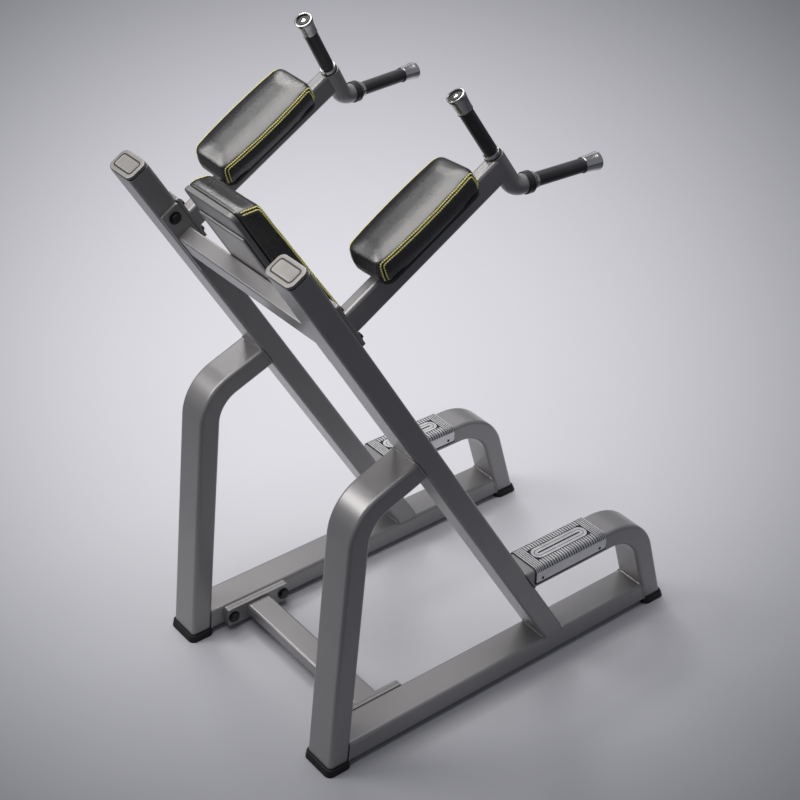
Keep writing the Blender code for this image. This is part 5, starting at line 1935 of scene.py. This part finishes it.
@dataclass
class Handle:
    """A handle: a round elbow with one grip up and one grip forward."""

    arm: Arm
    drop: float = 0.0656
    roll: float = 2.8
    radius: float = 0.0225
    bend: float = 0.034
    legs: dict[Grip, float] = field(
        default_factory=lambda: {Grip.UPPER: 0.0945, Grip.FRONT: 0.048})
    grips: dict[Grip, float] = field(
        default_factory=lambda: {Grip.UPPER: 0.129, Grip.FRONT: 0.138})
    collar_at: float = 0.028
    collar_length: float = 0.017
    collar_thickness: float = 0.0025
    ring_radius: float = 0.0203
    ring_length: float = 0.004
    grip_radius: float = 0.01625
    cap_length: float = 0.042
    cap_radius: float = 0.0212
    cap_well: float = 0.0050
    ferrule: float = 0.0082
    ferrule_wall: float = 0.0030
    edge: float = 0.0008

    def place(self, mast: Mast) -> Matrix:
        """Return the handle's frame: Z runs up the upper leg."""
        turn = Matrix.Rotation(-self.arm.one.side.value * math.radians(self.roll), 4, "Y")
        return self.arm.place(mast) @ shift(0.0, -self.arm.reach, -self.drop) @ turn

    def angle(self) -> float:
        """Return the angle between the two legs."""
        return math.radians(90.0 + self.arm.one.upright_lean)

    def leg_place(self, mast: Mast, grip: Grip, along: float) -> Matrix:
        """Return a frame on a leg's axis, with Z along the leg.

        Args:
            mast: The mast.
            grip: Which leg.
            along: Distance from the elbow.

        Returns:
            The frame.
        """
        turn = self.angle() if grip is Grip.FRONT else 0.0
        return self.place(mast) @ Matrix.Rotation(turn, 4, "X") @ shift(0.0, 0.0, along)

    def build_elbow(self, mast: Mast) -> None:
        """Build the round elbow and the collar on its front leg.

        Args:
            mast: The mast.
        """
        form = Form()
        bmesh.ops.create_circle(form.bm, cap_ends=True, segments=40, radius=self.radius)
        turn, label = self.angle(), self.arm.one.side.label
        front = Vector((0.0, -math.sin(turn), math.cos(turn)))
        corners = [UP * self.legs[Grip.UPPER], Vector(), front * self.legs[Grip.FRONT]]
        form.sweep(form.bm.faces[:][0], corners, self.bend, 24).turn_out()
        form.stand_in(f"handle_tube_{label}", "elbow", FRAME_PAINT, self.place(mast))
        inner, length, edge = self.radius + 0.0001, self.collar_length, self.edge
        outer = self.radius + GAP + self.collar_thickness
        Form().lathe([
            (inner, 0.0), (outer - edge, 0.0), (outer, edge), (outer, length - edge),
            (outer - edge, length), (inner, length), (inner, 0.0),
        ]).stand_in(f"handle_collar_{label}", "ring", BLACK_PLASTIC,
                    self.leg_place(mast, Grip.FRONT, self.collar_at))

    def ring_profiles(self) -> tuple[Profile, Profile]:
        """Return the profiles of a grip's ring and of the ferrule above it.

        Returns:
            The two profiles.
        """
        radius, length, edge = self.ring_radius, self.ring_length, self.edge
        inner, outer = self.grip_radius, self.grip_radius + self.ferrule_wall
        low, high = length + 0.0001, length + self.ferrule
        ring = [(0.0, 0.0001), (radius - 0.0006, 0.0001), (radius, edge), (radius, length - edge),
                (radius - edge, length), (0.0, length)]
        ferrule = [(inner, low), (outer - 0.0006, low), (outer, low + 0.0006),
                   (outer, high - edge), (outer - edge, high), (inner, high), (inner, low)]
        return ring, ferrule

    def sleeve_profile(self, length: float) -> Profile:
        """Return the profile of a rubber sleeve with a bead at its end.

        Args:
            length: The sleeve's length.

        Returns:
            The profile.
        """
        radius = self.grip_radius
        bead = radius + 0.002
        return [
            (0.0, 0.0), (radius - 0.0002, 0.0), (radius - 0.0002, 0.0080), (radius, 0.0090),
            (radius, length - 0.0044), (bead - 0.001, length - 0.0036), (bead, length - 0.0026),
            (bead, length - self.edge), (bead - self.edge, length), (0.0, length),
        ]

    def end_profiles(self) -> tuple[Profile, Profile, Profile]:
        """Return the profiles of a grip's end cap, and of the plug and the stud in it.

        Returns:
            The three profiles.
        """
        top, rim, floor = self.cap_length, self.cap_radius, self.cap_length - self.cap_well
        low = floor + 0.0001
        cap = [
            (0.0, 0.0), (0.0175, 0.0), (0.018, 0.0006), (0.0182, 0.004), (0.0186, 0.012),
            (0.0192, 0.020), (0.0200, 0.027), (0.0208, 0.0325), (rim, 0.0345),
            (rim, top - 0.0016), (rim - 0.0005, top - 0.0004), (rim - 0.0012, top),
            (rim - 0.0030, top), (rim - 0.0036, top - 0.0006), (rim - 0.0036, floor),
            (0.0, floor),
        ]
        plug = [
            (0.0, low), (0.0174, low), (0.0174, low + 0.0006), (0.0120, low + 0.0010),
            (0.0110, low + 0.0024), (0.0072, low + 0.0026), (0.0066, low + 0.0012),
            (0.0, low + 0.0012),
        ]
        stud = [
            (0.0, low + 0.0013), (0.0062, low + 0.0013), (0.0056, low + 0.0032),
            (0.0036, low + 0.0042), (0.0, low + 0.0044),
        ]
        return cap, plug, stud

    def build_grip(self, mast: Mast, grip: Grip) -> None:
        """Build a leg's ring, ferrule, grip and end cap.

        Args:
            mast: The mast.
            grip: Which leg.
        """
        leg, length = self.legs[grip], self.grips[grip]
        label = f"{grip.value}_{self.arm.one.side.label}"
        ring, ferrule = self.ring_profiles()
        seat = self.leg_place(mast, grip, leg)
        Form().lathe(ring).stand_in(f"grip_ring_{label}", "band", BLACK_PLASTIC, seat)
        Form().lathe(ferrule).piece(f"grip_ring_{label}_ferrule", BRIGHT_METAL, seat)
        sleeve_at = leg + self.ring_length + GAP
        seat = self.leg_place(mast, grip, sleeve_at)
        sleeve = self.sleeve_profile(length)
        Form().lathe(sleeve).stand_in(f"grip_{label}", "sleeve", GRIP_RUBBER, seat)
        seat = self.leg_place(mast, grip, sleeve_at + length + GAP)
        cap, plug, stud = self.end_profiles()
        Form().lathe(cap).stand_in(f"grip_cap_{label}", "end", BRIGHT_METAL, seat)
        Form().lathe(plug).piece(f"grip_cap_{label}_plug", BLACK_PLASTIC, seat)
        Form().lathe(stud, 24).piece(f"grip_cap_{label}_stud", BRIGHT_METAL, seat)

    def build(self, mast: Mast) -> None:
        """Build the whole handle.

        Args:
            mast: The mast.
        """
        self.build_elbow(mast)
        for grip in Grip:
            self.build_grip(mast, grip)


@dataclass(frozen=True)
class Lamp:
    """A soft rectangular lamp."""

    name: str
    at: Triple
    target: Triple
    size: tuple[float, float]
    power: float
    colour: Triple = (1.0, 0.985, 0.965)

    def hang(self) -> None:
        """Hang the lamp."""
        data = bpy.data.lights.new(self.name, "AREA")
        data.shape = "RECTANGLE"
        data.size, data.size_y = self.size
        data.energy = self.power
        data.color = self.colour
        item = show(self.name, data)
        item.location = self.at
        way = Vector(self.target) - Vector(self.at)
        item.rotation_euler = way.to_track_quat("-Z", "Y").to_euler()


@dataclass
class Studio:
    """Pale floor with a pool of light painted into its colour, soft lamps and the camera."""

    floor_size: float = 30.0
    floor_roughness: float = 0.75
    floor_colour: Triple = (0.608, 0.610, 0.645)
    edge_colour: Triple = (0.0, 0.006, 0.02)
    pool: tuple[tuple[float, float], ...] = ((0.025, 1.0), (0.125, 1.1))
    nearest: float = 0.8
    steepness: float = 1.25
    fall_off: float = 0.41
    dimmest: float = 0.20
    world_colour: Triple = (0.20, 0.205, 0.23)
    camera_at: Triple = (-2.7524, 2.1928, 2.9861)
    camera_turn: Triple = (0.9923, -0.0034, -2.2312)
    lens: float = 76.216
    lamps: tuple[Lamp, ...] = (
        Lamp("overhead", (1.15, 0.6, 6.0), (1.15, 0.6, 0.0), (4.7, 5.0), 305.0),
        Lamp("slant", (5.1, -0.9, 6.0), (5.1, -0.9, 0.0), (1.4, 2.0), 130.0),
        Lamp("behind", (2.2, 2.8, 3.4), (0.0, 0.2, 0.9), (1.6, 1.6), 60.0),
        Lamp("far_side", (3.8, -3.4, 3.2), (0.0, 0.0, 0.4), (2.2, 2.2), 9.0, (1.0, 1.0, 1.0)),
    )

    def pool_of_light(self, desk: NodeDesk) -> bpy.types.NodeSocket:
        """Return a mask of painted light: bright round the station, fading to painted shade
        toward the picture's edges.

        Args:
            desk: The floor material's desk.

        Returns:
            The mask, from 0 to 1.
        """
        across, up, back = Euler(self.camera_turn).to_matrix().col
        place = desk.add("TexCoord").outputs["Object"]
        away = desk.add("VectorMath", {0: place, 1: self.camera_at}, operation="SUBTRACT")
        spans = [
            desk.add("VectorMath", {0: away.outputs[0], 1: tuple(axis)},
                     operation="DOT_PRODUCT").outputs["Value"]
            for axis in (across, up, -back)
        ]
        depth = desk.math("MAXIMUM", spans[2], self.nearest)
        squares = []
        for span, (middle, stretch) in zip(spans, self.pool):
            share = desk.math("DIVIDE", span, depth)
            scaled = desk.math("MULTIPLY", share, 2 * self.lens / FILM * stretch)
            off = desk.math("ABSOLUTE", desk.math("SUBTRACT", scaled, middle * stretch))
            squares.append(desk.math("POWER", off, 2.0))
        total = desk.math("POWER", desk.math("ADD", *squares), self.steepness)
        fall = desk.math("MULTIPLY", total, -self.fall_off)
        return desk.math("MAXIMUM", desk.math("POWER", math.e, fall), self.dimmest)

    def build_floor(self) -> None:
        """Build the floor, with a pool of light and its shaded edges painted into its colour."""
        form = Form()
        bmesh.ops.create_grid(form.bm, x_segments=2, y_segments=2, size=self.floor_size)
        mesh = bpy.data.meshes.new("studio_floor")
        form.bm.to_mesh(mesh)
        form.bm.free()
        made = bpy.data.materials.new("floor_grey")
        made.use_nodes = True
        desk = NodeDesk(made.node_tree)
        # The floor's colour is painted light: bright round the station, painted shade toward the
        # picture's edges.
        tone = desk.blend(self.pool_of_light(desk), rgba(self.edge_colour),
                          rgba(self.floor_colour))
        desk.fill(made.node_tree.nodes["Principled BSDF"],
                  {"Base Color": tone, "Roughness": self.floor_roughness})
        mesh.materials.append(made)
        floor = show("studio_floor", mesh)

    def build_world(self) -> None:
        """Light the room evenly and weakly."""
        world = bpy.data.worlds.new("studio")
        world.use_nodes = True
        NodeDesk(world.node_tree).fill(world.node_tree.nodes["Background"],
                                       {"Color": rgba(self.world_colour), "Strength": 1.0})
        bpy.context.scene.world = world

    def build_camera(self) -> None:
        """Set the camera at the photograph's angle."""
        data = bpy.data.cameras.new("camera")
        data.sensor_width = FILM
        data.lens = self.lens
        item = show("camera", data)
        item.location = self.camera_at
        item.rotation_euler = self.camera_turn
        bpy.context.scene.camera = item

    def build(self) -> None:
        """Build the studio."""
        self.build_camera()
        self.build_floor()
        self.build_world()
        for lamp in self.lamps:
            lamp.hang()
        bpy.context.scene.view_settings.view_transform = "Standard"


def main() -> None:
    """Build the studio and the station, in order."""
    logging.basicConfig(level=logging.INFO, format="%(message)s")
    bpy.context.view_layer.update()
    Studio().build()
    frames = [SideFrame(side) for side in Side]
    for one in frames:
        one.build()
        StepTread().build(one)
    Boots().build(frames)
    mast = Mast(frames)
    UprightCaps().build(mast)
    LowerCross().build(mast)
    beam = UpperBeam()
    beam.build(mast)
    BackRest(beam).build(mast)
    for one in frames:
        arm = Arm(one)
        arm.build(mast)
        Handle(arm).build(mast)


if __name__ == "__main__":
    main()
